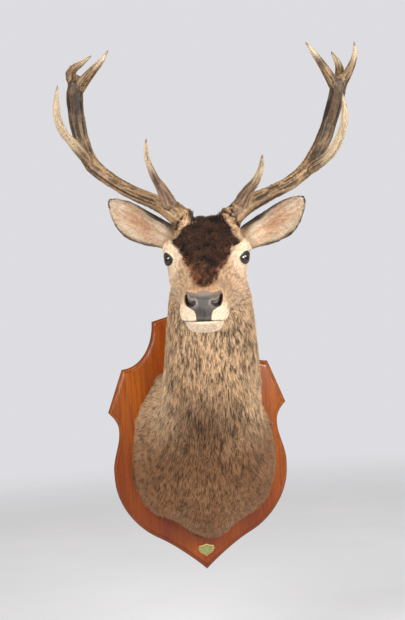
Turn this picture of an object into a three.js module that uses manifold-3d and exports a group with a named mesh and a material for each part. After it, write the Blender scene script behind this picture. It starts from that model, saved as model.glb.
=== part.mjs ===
// Red deer stag head mount: head, neck and chest on a shield-shaped board, for a wall.
// Millimetres. +Z up, -Y out of the wall, +X to the right of someone who faces the mount.
// The origin is the middle of the board's back face, where it lies on the wall.
// "left" and "right" in names are the animal's own, so its left is at +X.
import * as THREE from "three";
import { mergeVertices } from "three/addons/utils/BufferGeometryUtils.js";
import Module from "manifold-3d";

const wasm = await Module();
wasm.setup();

const GAP = 0.35; // clearance between neighbouring pieces
const FINEST = 0.2; // details smaller than this are merged

// ---------- driving dimensions ----------

const BOARD = {
  height: 630,
  thickness: 22,
  edge: 11, // square lower part of the edge, before the moulding
  mouldingWidth: 10,
  tipToWaist: 350,
};

const PLAQUE = { halfWidth: 20, height: 31, thickness: 1.6, centreAboveTip: 48, pinRadius: 1.7 };

const HEAD = {
  eyeLine: new THREE.Vector3(1.6, -480, 425.5), // midpoint between the eyeballs
  pitch: 25,
  turn: -8.6,
  lean: 2.3,
};

const EYE = { radius: 18.5, side: 70, behind: 1, above: 0 };

const EAR = { thickness: 6.5, root: [66, -105, -6], tip: [210, -115, 90], leftDrop: 2.5 };

// Stations of an ear from root to tip: share of its length, upper edge, lower edge and
// how deep its back bulges, each from the line between root and tip.
const EAR_SHAPE = [
  [0, 22, 24, 22],
  [0.15, 24, 31, 26],
  [0.32, 24, 43, 27],
  [0.48, 23, 49, 25],
  [0.6, 23, 50, 21],
  [0.72, 21.5, 44, 16],
  [0.84, 17, 31, 10],
  [0.94, 9.5, 16, 5],
  [1, 2, 2.5, 2.5],
];

// Stations of the neck and chest, from the board to the poll:
// forward, height, tilt in degrees, sideways, half width, depth to the nape, depth to the throat.
const NECK = [
  [22.3, -45, 0, 6, 170, 228, 185],
  [50, -45, 2, 6, 173, 216, 187],
  [90, -35, 6, 7, 164, 203, 180],
  [130, -8, 13, 9, 147, 178, 169],
  [180, 38, 25, 11, 127, 150, 147],
  [235, 100, 37, 14, 114, 131, 128],
  [285, 170, 47, 15, 109, 127, 114],
  [322, 240, 55, 15.5, 106, 122, 108],
  [350, 308, 62, 16, 99, 108, 99],
  [374, 378, 68, 14.5, 84, 92, 80],
  [392, 440, 73, 14, 68, 70, 60],
  [404, 482, 76, 13, 44, 36, 36],
];

// Stations of the skull and upper jaw along the line from the eyes to the nostrils:
// ahead of the eyes, half width, top, height of the widest level, bottom.
const FACE = [
  [-148, 26, 18, -8, -40],
  [-137, 50, 36, -8, -66],
  [-112, 71, 50, -6, -92],
  [-78, 81, 56, -14, -116],
  [-40, 87, 56, -22, -130],
  [-8, 86, 51, -24, -133],
  [14, 79, 45, -24, -130],
  [32, 68, 40, -25, -125],
  [55, 57.5, 33, -26, -116],
  [82, 49, 27, -27, -101],
  [112, 46, 23, -28, -84],
  [145, 46.5, 21, -30, -67],
  [175, 49, 21, -33, -56],
  [196, 50, 20, -34, -52],
  [211, 47, 16, -34, -50],
  [223, 39, 8, -34, -47],
  [230.5, 26, -4, -32, -42],
  [233.5, 9, -16, -29, -35],
];

// Stations of the lower jaw: ahead of the eyes, half width, top, bottom.
const JAW = [
  [10, 30, -70, -118],
  [30, 42, -55, -123],
  [65, 38, -50, -112],
  [105, 35, -45, -99],
  [145, 34, -40, -88],
  [180, 37, -38, -78],
  [203, 38, -38, -72],
  [216, 35, -39, -67],
  [224, 25, -41, -60],
  [226, 10, -44, -52],
];

// ---------- shared shapes ----------

const radians = THREE.MathUtils.degToRad;

// A row of numbers at `key` from rows that start with their own key, on smooth cubic pieces.
function rowAt(rows, key) {
  const last = rows.length - 1;
  let i = 0;
  while (i < last - 1 && rows[i + 1][0] < key) i += 1;
  const span = rows[i + 1][0] - rows[i][0];
  const t = (key - rows[i][0]) / span;
  const slope = (j, k) => {
    const before = rows[Math.max(j - 1, 0)];
    const after = rows[Math.min(j + 1, last)];
    return (after[k] - before[k]) / (after[0] - before[0]);
  };
  const [h1, h2] = [t * t * (3 - 2 * t), t * (1 - t) * (1 - t)];
  const h3 = t * t * (t - 1);
  return rows[i].map(
    (from, k) => from + (rows[i + 1][k] - from) * h1 + span * (slope(i, k) * h2 + slope(i + 1, k) * h3),
  );
}

// A closed body through rings of points, each with the same count, with a fan over each end.
function loft(rings) {
  const sides = rings[0].length;
  const points = rings.flat();
  const faces = [];
  for (let r = 0; r < rings.length - 1; r += 1)
    for (let s = 0; s < sides; s += 1) {
      const [a, b] = [r * sides + s, r * sides + ((s + 1) % sides)];
      faces.push(a, b, a + sides, b, b + sides, a + sides);
    }
  const ends = [
    [rings[0], 0, true],
    [rings.at(-1), (rings.length - 1) * sides, false],
  ];
  for (const [ring, first, flipped] of ends) {
    const centre = ring.reduce((sum, p) => sum.add(p), new THREE.Vector3()).divideScalar(sides);
    const middle = points.push(centre) - 1;
    for (let s = 0; s < sides; s += 1) {
      const [a, b] = [first + s, first + ((s + 1) % sides)];
      faces.push(middle, flipped ? b : a, flipped ? a : b);
    }
  }
  const geometry = new THREE.BufferGeometry().setFromPoints(points);
  geometry.setIndex(faces);
  return geometry;
}

// A geometry as a solid, turned right side out.
function solid(geometry, matrix = new THREE.Matrix4()) {
  const bare = geometry.clone().applyMatrix4(matrix);
  bare.deleteAttribute("normal");
  bare.deleteAttribute("uv");
  const merged = mergeVertices(bare, 1e-3);
  const triVerts = new Uint32Array(merged.index.array);
  const build = () =>
    new wasm.Manifold(
      new wasm.Mesh({ numProp: 3, vertProperties: merged.attributes.position.array, triVerts }),
    );
  const made = build();
  if (made.volume() > 0) return made;
  for (let i = 0; i < triVerts.length; i += 3)
    [triVerts[i + 1], triVerts[i + 2]] = [triVerts[i + 2], triVerts[i + 1]];
  return build();
}

// A solid as a geometry for a mesh.
function shapeOf(body) {
  const { vertProperties, triVerts } = body.getMesh();
  const geometry = new THREE.BufferGeometry();
  geometry.setAttribute("position", new THREE.BufferAttribute(vertProperties, 3));
  geometry.setIndex(new THREE.BufferAttribute(triVerts, 1));
  return geometry;
}

// Both sides of a cut along the plane through `point` with the given normal: [ahead, behind].
function cut(body, point, normal) {
  const n = normal.clone().normalize();
  const offset = n.dot(point);
  return [
    body.trimByPlane(n.toArray(), offset + GAP / 2),
    body.trimByPlane(n.clone().negate().toArray(), -offset + GAP / 2),
  ];
}

// The largest connected piece, free of crumbs that a cut may leave.
function largest(body) {
  return body.decompose().reduce((a, b) => (b.volume() > a.volume() ? b : a));
}

// One point of an ellipse-like outline; power 2 is an ellipse and more is squarer.
function oval(angle, halfWidth, up, down, power) {
  const [c, s] = [Math.cos(angle), Math.sin(angle)];
  const bend = (v) => Math.sign(v) * Math.abs(v) ** (2 / power);
  return [halfWidth * bend(c), (s > 0 ? up : down) * bend(s)];
}

// A tapering tube through rows of [x, y, z, radius], made thicker all round by `grow`.
function tube(rows, sides, steps, grow = 0) {
  const curve = new THREE.CatmullRomCurve3(rows.map(([x, y, z]) => new THREE.Vector3(x, y, z)));
  const frames = curve.computeFrenetFrames(steps);
  const rings = [];
  for (let i = 0; i <= steps; i += 1) {
    const u = i / steps;
    const t = curve.getUtoTmapping(u) * (rows.length - 1);
    const k = Math.min(Math.floor(t), rows.length - 2);
    const radius = THREE.MathUtils.lerp(rows[k][3], rows[k + 1][3], t - k) + grow;
    const centre = curve.getPointAt(u);
    rings.push(
      Array.from({ length: sides }, (_, s) => {
        const a = (s / sides) * 2 * Math.PI;
        return centre
          .clone()
          .addScaledVector(frames.normals[i], radius * Math.cos(a))
          .addScaledVector(frames.binormals[i], radius * Math.sin(a));
      }),
    );
  }
  return solid(loft(rings));
}

// An ellipsoid in the head's frame: sideways, ahead of the eyes, above them, and its three radii.
function lump([side, ahead, above], [across, along, up], matrix) {
  const geometry = new THREE.SphereGeometry(1, 10, 6);
  geometry.scale(across, along, up).translate(side, -ahead, above);
  return solid(geometry, matrix);
}

const headFrame = new THREE.Matrix4()
  .makeRotationFromEuler(
    new THREE.Euler(radians(HEAD.pitch), radians(HEAD.lean), radians(HEAD.turn), "ZXY"),
  )
  .setPosition(HEAD.eyeLine);

// A point or direction given in the head's frame: sideways, ahead, above.
const inHead = (side, ahead, above) => new THREE.Vector3(side, -ahead, above).applyMatrix4(headFrame);
const alongHead = (side, ahead, above) =>
  new THREE.Vector3(side, -ahead, above).transformDirection(headFrame);

// ---------- materials ----------

const paint = (hex, roughness, metalness = 0) =>
  new THREE.MeshStandardMaterial({ color: hex, roughness, metalness });
const MATERIAL = {
  wood: paint(0x8e4316, 0.35),
  brass: paint(0x8d8a58, 0.4, 0.9),
  coat: paint(0x86705a, 0.9),
  noseLeather: paint(0x57524f, 0.55),
  paleCoat: paint(0xd9c9ac, 0.9),
  glass: paint(0x1c130d, 0.05),
  antler: paint(0x77614a, 0.6),
  tine: paint(0xb8a583, 0.5),
};

const mount = new THREE.Group();

function place(name, body, material) {
  const mesh = new THREE.Mesh(shapeOf(largest(body.simplify(FINEST))), material);
  mesh.name = name;
  mount.add(mesh);
}

// ---------- board and plaque ----------

// The right half of the shield's outline, from its tip up to the middle of its top edge.
function halfShield() {
  const path = new THREE.Path();
  path.moveTo(0, 0);
  path.bezierCurveTo(20, 20, 66, 56, 94, 73);
  path.bezierCurveTo(169, 108, 217, 175, 212, 256);
  path.bezierCurveTo(210, 290, 193, 318, 194, BOARD.tipToWaist);
  path.bezierCurveTo(194, 370, 206, 384, 218, 396);
  path.lineTo(179, 499);
  path.absellipse(179, 611, 80, 112, -Math.PI / 2, -Math.PI, true);
  path.bezierCurveTo(67, 620, 30, BOARD.height, 0, BOARD.height);
  return path.getPoints(5);
}

// A half outline joined to its mirror image, without the doubled ends.
function wholeOutline(half) {
  const mirrored = half.slice(1, -1).reverse();
  return [...half, ...mirrored.map((p) => new THREE.Vector2(-p.x, p.y))];
}

// A closed outline drawn inwards by the same distance on every side.
function inset(outline, distance) {
  return outline.map((p, i) => {
    const before = outline[(i + outline.length - 1) % outline.length];
    const after = outline[(i + 1) % outline.length];
    const into = (a, b) => new THREE.Vector2(a.y - b.y, b.x - a.x).normalize();
    const [m, n] = [into(before, p), into(p, after)];
    const bisector = m.clone().add(n).normalize();
    return p.clone().addScaledVector(bisector, distance / Math.max(bisector.dot(n), 0.3));
  });
}

// A plate whose edge steps in: layers are [distance from the back, inset].
function plate(outline, layers, bottom, back) {
  const rings = layers.map(([out, inward]) =>
    inset(outline, inward).map((p) => new THREE.Vector3(p.x, -back - out, p.y + bottom)),
  );
  const sides = outline.length;
  const faces = [];
  for (let r = 0; r < rings.length - 1; r += 1)
    for (let s = 0; s < sides; s += 1) {
      const [a, b] = [r * sides + s, r * sides + ((s + 1) % sides)];
      faces.push(a, b, a + sides, b, b + sides, a + sides);
    }
  const top = (rings.length - 1) * sides;
  for (const [a, b, c] of THREE.ShapeUtils.triangulateShape(outline, []))
    faces.push(a, c, b, top + a, top + b, top + c);
  const geometry = new THREE.BufferGeometry().setFromPoints(rings.flat());
  geometry.setIndex(faces);
  return solid(geometry);
}

function makeBoard() {
  const { thickness, edge, mouldingWidth: wide, height } = BOARD;
  const rise = thickness - edge;
  const layers = [
    [0, 0],
    [edge, 0],
    [edge + rise * 0.6, wide * 0.55],
    [thickness, wide],
  ];
  place("board", plate(wholeOutline(halfShield()), layers, -height / 2, 0), MATERIAL.wood);
}

function makePlaque() {
  const { halfWidth: w, height: h, thickness, centreAboveTip, pinRadius } = PLAQUE;
  const path = new THREE.Path();
  path.moveTo(0, 0);
  path.quadraticCurveTo(w * 0.3, h * 0.22, w * 0.72, h * 0.3);
  path.lineTo(w, h * 0.62);
  path.lineTo(w * 0.86, h * 0.86);
  path.quadraticCurveTo(w * 0.45, h * 0.84, 0, h);
  const bottom = centreAboveTip - BOARD.height / 2 - h / 2;
  const back = BOARD.thickness + GAP;
  const layers = [[0, 0], [thickness * 0.6, 0], [thickness, thickness * 0.5]];
  place("plaque", plate(wholeOutline(path.getPoints(4)), layers, bottom, back), MATERIAL.brass);
  const profile = [
    [0, 0],
    [pinRadius, 0],
    [pinRadius * 0.8, pinRadius * 0.6],
    [0, pinRadius * 0.85],
  ].map(([r, y]) => new THREE.Vector2(r, y));
  const out = back + thickness + GAP;
  for (const [side, name] of [[-1, "right"], [1, "left"]]) {
    const matrix = new THREE.Matrix4().makeTranslation(side * w * 0.7, -out, bottom + h * 0.6);
    const dome = new THREE.LatheGeometry(profile, 12).rotateX(Math.PI);
    place(`plaque_pin_${name}`, solid(dome, matrix), MATERIAL.brass);
  }
}

// ---------- neck, head and ears ----------

// How far the skin's lower edge is drawn in between the brisket and the shoulders.
function scallop(angle, forward) {
  const beyond = Math.abs(THREE.MathUtils.radToDeg(angle) - 270) - 33;
  const notch = Math.exp(-((beyond / (beyond < 0 ? 15 : 9)) ** 2));
  return 1 - 0.21 * notch * Math.exp(-(((forward - NECK[0][0]) / 125) ** 2));
}

function neckRing(row, sides) {
  const [forward, height, tilt, sideways, halfWidth, nape, throat] = row;
  const [c, s] = [Math.cos(radians(tilt)), Math.sin(radians(tilt))];
  return Array.from({ length: sides }, (_, i) => {
    const angle = (i / sides) * 2 * Math.PI;
    const [x, up] = oval(angle, halfWidth, nape, throat, 2.1);
    const k = scallop(angle, forward);
    return new THREE.Vector3(sideways + x * k, -(forward - up * k * s), height + up * k * c);
  });
}

function makeNeck() {
  const steps = 15;
  const [first, last] = [NECK[0][0], NECK.at(-1)[0]];
  const rings = [];
  for (let i = 0; i <= steps; i += 1)
    rings.push(neckRing(rowAt(NECK, first + ((last - first) * i) / steps), 32));
  return solid(loft(rings));
}

// A bone of the head from its stations: ahead, half width, top, widest level, bottom.
function makeBone(rows, sides, power) {
  const rings = rows.map(([ahead, halfWidth, top, level, bottom]) =>
    Array.from({ length: sides }, (_, i) => {
      const angle = (i / sides) * 2 * Math.PI;
      const [x, up] = oval(angle, halfWidth, top - level, level - bottom, power);
      return new THREE.Vector3(x, -ahead, level + up);
    }),
  );
  return solid(loft(rings), headFrame);
}

function makeHead() {
  const jaw = JAW.map(([ahead, halfWidth, top, bottom]) => [
    ahead,
    halfWidth,
    top,
    top * 0.55 + bottom * 0.45,
    bottom,
  ]);
  let head = makeBone(FACE, 22, 2.25).add(makeBone(jaw, 14, 2.6));
  for (const side of [-1, 1]) {
    head = head
      .add(lump([side * 68, -21, 11], [30, 38, 25], headFrame)) // socket of the eye
      .add(lump([side * 54, -34, -80], [24, 52, 44], headFrame)) // jaw muscle
      .add(lump([side * 25, 197, -1], [13, 26, 17], headFrame)); // wing of the nostril
  }
  return head;
}

// An ear is a leaf-shaped cup. It is made larger all round by `grow` to cut its seat in the head.
function makeEar(side, grow = 0) {
  const [root, tip] = [EAR.root, EAR.tip].map(
    ([x, ahead, z]) => new THREE.Vector3(side * x, -ahead, z - side * EAR.leftDrop),
  );
  const along = tip.clone().sub(root).normalize();
  root.addScaledVector(along, -grow);
  const facing = new THREE.Vector3(side * 0.1, -0.9, 0.42);
  const across = new THREE.Vector3().crossVectors(facing, along).multiplyScalar(side).normalize();
  const out = new THREE.Vector3().crossVectors(along, across).multiplyScalar(side).normalize();
  const [steps, arc] = [12, 7];
  const rings = [];
  for (let i = 0; i <= steps; i += 1) {
    const u = i / steps;
    const [, upper, lower, depth] = rowAt(EAR_SHAPE, u);
    const centre = root.clone().lerp(tip, u);
    const half = (upper + lower) / 2 + grow;
    const wall = Math.min(EAR.thickness, half * 0.45);
    const hollow = grow > 0 ? 0 : THREE.MathUtils.smoothstep(u, 0.12, 0.38);
    const ring = [];
    const put = (x, y) =>
      ring.push(
        centre.clone().addScaledVector(across, (upper - lower) / 2 + x).addScaledVector(out, y),
      );
    for (let k = 0; k < arc; k += 1) {
      const a = (k / (arc - 1) - 0.5) * Math.PI;
      put(half * Math.sin(a), -(depth + grow) * Math.cos(a));
    }
    for (let k = arc - 1; k >= 0; k -= 1) {
      const a = (k / (arc - 1) - 0.5) * Math.PI;
      const inner = Math.max(depth - wall, 0.4) * hollow;
      const rim = wall * 0.5 + (1 - hollow) * 4;
      put((half - wall * 0.6) * Math.sin(a), rim + grow - (inner + rim * hollow) * Math.cos(a));
    }
    rings.push(ring);
  }
  return solid(loft(rings), headFrame);
}

// ---------- antlers ----------

// Centrelines with radii, [x, y, z, radius], from root to tip. A beam starts under its burr.
// The beam is parted just above the root of its trez tine.
const ANTLERS = {
  right: {
    beam: [
      [-29, -422, 500, 15],
      [-39, -416, 513, 23],
      [-64, -401, 539, 21.5],
      [-94, -373, 557.5, 16.5],
      [-144, -325, 587.5, 14.5],
      [-187, -293, 621, 15.5],
      [-223, -275, 655, 17],
      [-241, -268, 703, 17],
      [-251, -276, 764, 17.5],
      [-252, -290, 812, 19],
      [-247, -298, 838, 15],
    ],
    tines: {
      brow_tine: [
        [-60, -408, 536, 17],
        [-77, -440, 574, 11.5],
        [-94, -470, 596, 7.7],
        [-111, -512, 632, 5.6],
        [-114, -531, 652, 4.4],
        [-113, -550, 672, 0.9],
      ],
      trez_tine: [
        [-222, -277, 652, 12.5],
        [-254, -307, 692, 11],
        [-277, -331, 716, 9.3],
        [-292, -365, 748, 8.3],
        [-292, -395, 778, 6.6],
        [-286, -420, 811, 0.9],
      ],
      crown_front: [
        [-244, -297, 822, 14],
        [-223, -310, 844, 11.5],
        [-207, -321, 859, 9],
        [-190, -331, 874, 6.5],
        [-173, -342, 895, 0.9],
      ],
      crown_rear: [
        [-249, -293, 828, 14],
        [-259, -288, 855, 11.5],
        [-252, -283, 869, 9.6],
        [-234, -275, 882, 6.8],
        [-209, -268, 900, 0.9],
      ],
    },
  },
  left: {
    beam: [
      [53, -422, 497, 15],
      [64, -416, 510, 23],
      [96, -399, 535, 20.5],
      [132, -372, 552, 16.5],
      [176, -335, 571, 14.5],
      [217, -305, 591, 15],
      [252, -285, 616, 16.5],
      [280, -273, 648, 16.5],
      [302, -270, 685, 17],
      [324, -278, 742, 16.5],
      [338, -294, 794, 18],
      [340, -299, 816, 15],
    ],
    tines: {
      brow_tine: [
        [84, -406, 531, 17],
        [99, -440, 562, 11.5],
        [116, -474, 582, 8.4],
        [123, -500, 600, 6.4],
        [124, -523, 615, 4.9],
        [123, -545, 628, 0.9],
      ],
      trez_tine: [
        [252, -287, 614, 12.5],
        [290, -315, 634, 11.5],
        [313, -340, 656, 10],
        [327, -368, 690, 8.6],
        [330, -395, 726, 7.4],
        [322, -420, 767, 0.9],
      ],
      crown_front: [
        [333, -298, 800, 14],
        [314, -310, 831, 11],
        [297, -320, 854, 8.6],
        [281, -329, 875, 6.2],
        [263, -338, 895, 0.9],
      ],
      crown_rear: [
        [341, -293, 806, 12],
        [348, -280, 843, 9.4],
        [345, -269, 865, 7],
        [335, -258, 888, 0.9],
      ],
      crown_outer: [
        [341, -297, 800, 12.5],
        [361, -302, 828, 9.6],
        [373, -308, 851, 7.6],
        [379, -313, 873, 5.6],
        [376, -318, 897, 0.9],
      ],
    },
  },
};
const BURR = { radius: 27.5, height: 9, beads: 9, atRow: 1 };

// A knobbly ring round the foot of the beam.
function makeBurr(beam, grow = 0) {
  const sides = BURR.beads * 2;
  const [foot, next] = [beam[BURR.atRow], beam[BURR.atRow + 1]].map((r) => new THREE.Vector3(...r));
  const axis = next.sub(foot).normalize();
  const turn = new THREE.Quaternion().setFromUnitVectors(new THREE.Vector3(0, 0, 1), axis);
  const rings = [-1, 0, 1].map((level) =>
    Array.from({ length: sides }, (_, i) => {
      const a = (i / sides) * 2 * Math.PI;
      const bulge = Math.sqrt(1.15 - level * level) * (i % 2 ? 0.75 : 1);
      const r = BURR.radius - 5 + 5 * bulge + grow;
      const p = new THREE.Vector3(r * Math.cos(a), r * Math.sin(a), level * (BURR.height / 2 + grow));
      return p.applyQuaternion(turn).add(foot);
    }),
  );
  return solid(loft(rings));
}

function makeAntler(side, { beam, tines }) {
  const [sides, steps] = [10, 20];
  const whole = tube(beam, sides, steps);
  const room = tube(beam, sides, steps, GAP);
  const trezRoot = new THREE.Vector3(...tines.trez_tine[0]);
  const above = new THREE.Vector3(...tines.trez_tine[1]);
  const upper = beam.find(([, , z]) => z > trezRoot.z + 20);
  const forkNormal = new THREE.Vector3(...upper).sub(trezRoot).normalize();
  const forkPoint = trezRoot.clone().lerp(above, 0.15).lerp(new THREE.Vector3(...upper), 0.5);
  const [beamUpper, beamLower] = cut(whole, forkPoint, forkNormal);
  place(`antler_${side}_burr`, makeBurr(beam).subtract(room), MATERIAL.antler);
  place(`antler_${side}_beam_lower`, beamLower, MATERIAL.antler);
  place(`antler_${side}_beam_upper`, beamUpper, MATERIAL.antler);
  let taken = room;
  for (const [name, rows] of Object.entries(tines)) {
    place(`antler_${side}_${name}`, tube(rows, 8, 9).subtract(taken), MATERIAL.tine);
    taken = taken.add(tube(rows, 8, 9, GAP));
  }
  return room.add(makeBurr(beam, GAP));
}

// ---------- the whole animal, parted by thin cuts ----------

// The furred stalk between the skull and the burr.
function makePedicle(side, beam) {
  const [foot, next] = [beam[BURR.atRow], beam[BURR.atRow + 1]].map((r) => new THREE.Vector3(...r));
  const axis = next.sub(foot).normalize();
  const root = inHead(side === "left" ? 46 : -46, -86, 18);
  const stops = [18, BURR.height / 2 + GAP].map((d) => foot.clone().addScaledVector(axis, -d));
  const rows = [root, ...stops].map((p, i) => [...p.toArray(), [28, 25, 23.5][i]]);
  return tube(rows, 14, 3);
}

function makeAnimal() {
  let flesh = makeNeck().add(makeHead());
  for (const [side, sign] of [["right", -1], ["left", 1]]) {
    const antlerRoom = makeAntler(side, ANTLERS[side]);
    flesh = flesh.add(makePedicle(side, ANTLERS[side].beam)).subtract(antlerRoom);
    const spot = new THREE.Matrix4().setPosition(inHead(sign * EYE.side, -EYE.behind, EYE.above));
    const ball = (radius) => solid(new THREE.SphereGeometry(radius, 12, 8), spot);
    place(`eye_${side}`, ball(EYE.radius), MATERIAL.glass);
    flesh = flesh.subtract(ball(EYE.radius + GAP));
    place(`ear_${side}`, makeEar(sign).subtract(antlerRoom), MATERIAL.coat);
    flesh = flesh.subtract(makeEar(sign, GAP));
  }
  const [front, chest] = cut(flesh, neckPoint(188), neckAxis(188));
  const [rest, neckLower] = cut(front, neckPoint(300), neckAxis(300));
  const throat = new THREE.Vector3(0, -440, 312);
  const [head, neckUpper] = cut(rest, throat, new THREE.Vector3(0, -0.62, 0.78));
  const [muzzle, skull] = cut(head, inHead(0, 108, 0), alongHead(0, 1, 0));
  const [snout, jaw] = cut(muzzle, inHead(0, 236, -33), alongHead(0, -0.39, 0.92));
  const [nose, lips] = cut(snout, inHead(0, 211, -6), alongHead(0, 0.95, 0.3));
  place("chest", chest, MATERIAL.coat);
  place("neck_lower", neckLower, MATERIAL.coat);
  place("neck_upper", neckUpper, MATERIAL.coat);
  place("head", skull, MATERIAL.coat);
  place("muzzle", lips, MATERIAL.coat);
  place("nose", nose, MATERIAL.noseLeather);
  place("lower_jaw", jaw, MATERIAL.paleCoat);
}

function neckPoint(forward) {
  const [, height] = rowAt(NECK, forward);
  return new THREE.Vector3(0, -forward, height);
}

function neckAxis(forward) {
  const tilt = radians(rowAt(NECK, forward)[2]);
  return new THREE.Vector3(0, -Math.cos(tilt), Math.sin(tilt));
}

makeBoard();
makePlaque();
makeAnimal();

export default mount;
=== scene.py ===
"""A red deer stag's head and shoulder mount on its shield board, dressed for the studio.

The solid parts come in as a frame in metres. One skin takes the place of the flesh, coats of
solid tufts lie over it, and the antlers, eyes, board and plaque are finished in their own places.
"""

import math
from typing import NamedTuple

import bmesh
import bpy
import numpy as np
from bpy.props import FloatProperty, FloatVectorProperty, IntProperty, PointerProperty
from mathutils import Euler, Matrix, Vector
from mathutils.bvhtree import BVHTree
from mathutils.kdtree import KDTree


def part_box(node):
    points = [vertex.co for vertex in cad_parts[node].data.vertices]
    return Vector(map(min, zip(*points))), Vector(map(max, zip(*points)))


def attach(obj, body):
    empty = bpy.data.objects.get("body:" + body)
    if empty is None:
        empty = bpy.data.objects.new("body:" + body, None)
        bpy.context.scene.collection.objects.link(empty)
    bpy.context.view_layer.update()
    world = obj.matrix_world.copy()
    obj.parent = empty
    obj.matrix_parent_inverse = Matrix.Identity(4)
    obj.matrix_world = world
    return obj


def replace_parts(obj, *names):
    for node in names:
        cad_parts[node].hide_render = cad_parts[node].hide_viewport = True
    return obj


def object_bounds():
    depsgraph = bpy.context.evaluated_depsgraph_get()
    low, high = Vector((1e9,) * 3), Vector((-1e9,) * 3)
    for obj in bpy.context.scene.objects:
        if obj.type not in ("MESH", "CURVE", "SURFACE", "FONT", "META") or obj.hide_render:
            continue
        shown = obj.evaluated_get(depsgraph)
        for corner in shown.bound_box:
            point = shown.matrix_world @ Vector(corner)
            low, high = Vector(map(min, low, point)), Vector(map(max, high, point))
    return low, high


bl_info = {
    "name": "Stag Shoulder Mount",
    "version": (1, 0, 0),
    "blender": (4, 5, 0),
    "location": "3D View > Sidebar > Stag Mount",
    "description": "Dresses the solid parts of a stag's shoulder mount with skin, coat, antlers and board",
    "category": "Object",
}

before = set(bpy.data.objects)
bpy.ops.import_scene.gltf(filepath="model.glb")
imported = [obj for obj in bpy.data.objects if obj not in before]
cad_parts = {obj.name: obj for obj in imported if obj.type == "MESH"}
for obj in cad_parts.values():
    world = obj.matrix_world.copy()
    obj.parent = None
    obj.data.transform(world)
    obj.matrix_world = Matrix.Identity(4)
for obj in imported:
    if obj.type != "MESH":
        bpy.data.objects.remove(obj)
CAD_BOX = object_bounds()

MM = 0.001
BODY = "root"
SIDES = {"left": 1, "right": -1}
NECK = ("chest", "neck_lower", "neck_upper")
HEAD = ("head", "muzzle", "nose", "lower_jaw")
EARS = ("ear_left", "ear_right")
FLESH = NECK + HEAD + EARS
EYE_BALLS = ("eye_left", "eye_right")

# The head's own axes: its pitch, lean and turn, about the middle of the line between the eyes.
HEAD_PITCH, HEAD_LEAN, HEAD_TURN = (math.radians(angle) for angle in (25, 2.3, -8.6))
HEAD_TURNED = np.array(Euler((HEAD_PITCH, HEAD_LEAN, HEAD_TURN), "YXZ").to_matrix())
EYE_BEHIND = 1.0  # how far the eye line lies behind the middles of the eyes, in millimetres


def middle(part):
    """The middle of a solid part's box, in metres."""
    low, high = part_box(part)
    return np.array((low + high) / 2)


HEAD_PLACE = (middle("eye_left") + middle("eye_right")) / 2 + HEAD_TURNED @ (0, -EYE_BEHIND * MM, 0)


def to_head(points):
    """Points in metres as millimetres to the animal's left, ahead of the eye line and above it."""
    local = (np.asarray(points) - HEAD_PLACE) @ HEAD_TURNED / MM
    return local * (1, -1, 1)


def from_head(local):
    """Points to the left, ahead and above in millimetres, as metres in the frame."""
    return (np.asarray(local, float) * (1, -1, 1) * MM) @ HEAD_TURNED.T + HEAD_PLACE


def head_direction(side, ahead, above):
    """A direction given along the head's own axes, in the frame."""
    return HEAD_TURNED @ np.array((side, -ahead, above), float)


def unit(vectors):
    """Vectors of length one."""
    lengths = np.linalg.norm(vectors, axis=-1, keepdims=True)
    return vectors / np.maximum(lengths, 1e-12)


def ramp(value, start, end):
    """0 before start, 1 past end, and an even curve between them. start may be above end."""
    t = np.clip((value - start) / (end - start), 0, 1)
    return t * t * (3 - 2 * t)


def bump(value, centre, spread):
    """A smooth hump of height one."""
    return np.exp(-(((value - centre) / spread) ** 2))


def tint(red, green, blue):
    """A linear colour from display values out of 255."""
    shown = np.array((red, green, blue)) / 255
    return np.where(shown <= 0.04045, shown / 12.92, ((shown + 0.055) / 1.055) ** 2.4)


def mix(first, second, share):
    """Colours or vectors blended by one share, or by a share for each point."""
    share = np.asarray(share)[..., None]
    return np.asarray(first) * (1 - share) + np.asarray(second) * share


def corner_value(cell, seed):
    """A settled random number from 0 to 1 for each corner of a lattice."""
    x, y, z = (cell[..., axis].astype(np.int64) for axis in range(3))
    mixed = (x * 374761393 + y * 668265263 + z * 1440662683 + seed * 974634777) & 0xFFFFFFFF
    mixed = ((mixed ^ (mixed >> 13)) * 1274126177) & 0xFFFFFFFF
    return ((mixed ^ (mixed >> 16)) & 0xFFFF) / 65535


def mottle(points, size, seed):
    """Smooth random patches of about that size, from -1 to 1."""
    scaled = np.asarray(points) / size
    cell = np.floor(scaled)
    part = scaled - cell
    part = part * part * (3 - 2 * part)
    total = np.zeros(len(scaled))
    for corner in np.ndindex(2, 2, 2):
        share = np.prod(np.where(corner, part, 1 - part), axis=1)
        total += share * corner_value(cell + corner, seed)
    return total * 2 - 1


# --- Settings ---


def swatch(name, where, red, green, blue):
    """A colour that a user may change, given by display values out of 255."""
    shown = tuple(tint(red, green, blue))
    return FloatVectorProperty(name=name, description=where, default=shown, subtype="COLOR", min=0, max=1)


class SkinSettings(bpy.types.PropertyGroup):
    """How finely the skin is made."""

    voxel: FloatProperty(
        name="Voxel", description="Grain of the fused skin", default=2.8 * MM, unit="LENGTH",
    )
    keep: FloatProperty(
        name="Keep", description="Share of faces kept under the long coat", default=0.3, min=0.1, max=1,
        subtype="FACTOR",
    )


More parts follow.
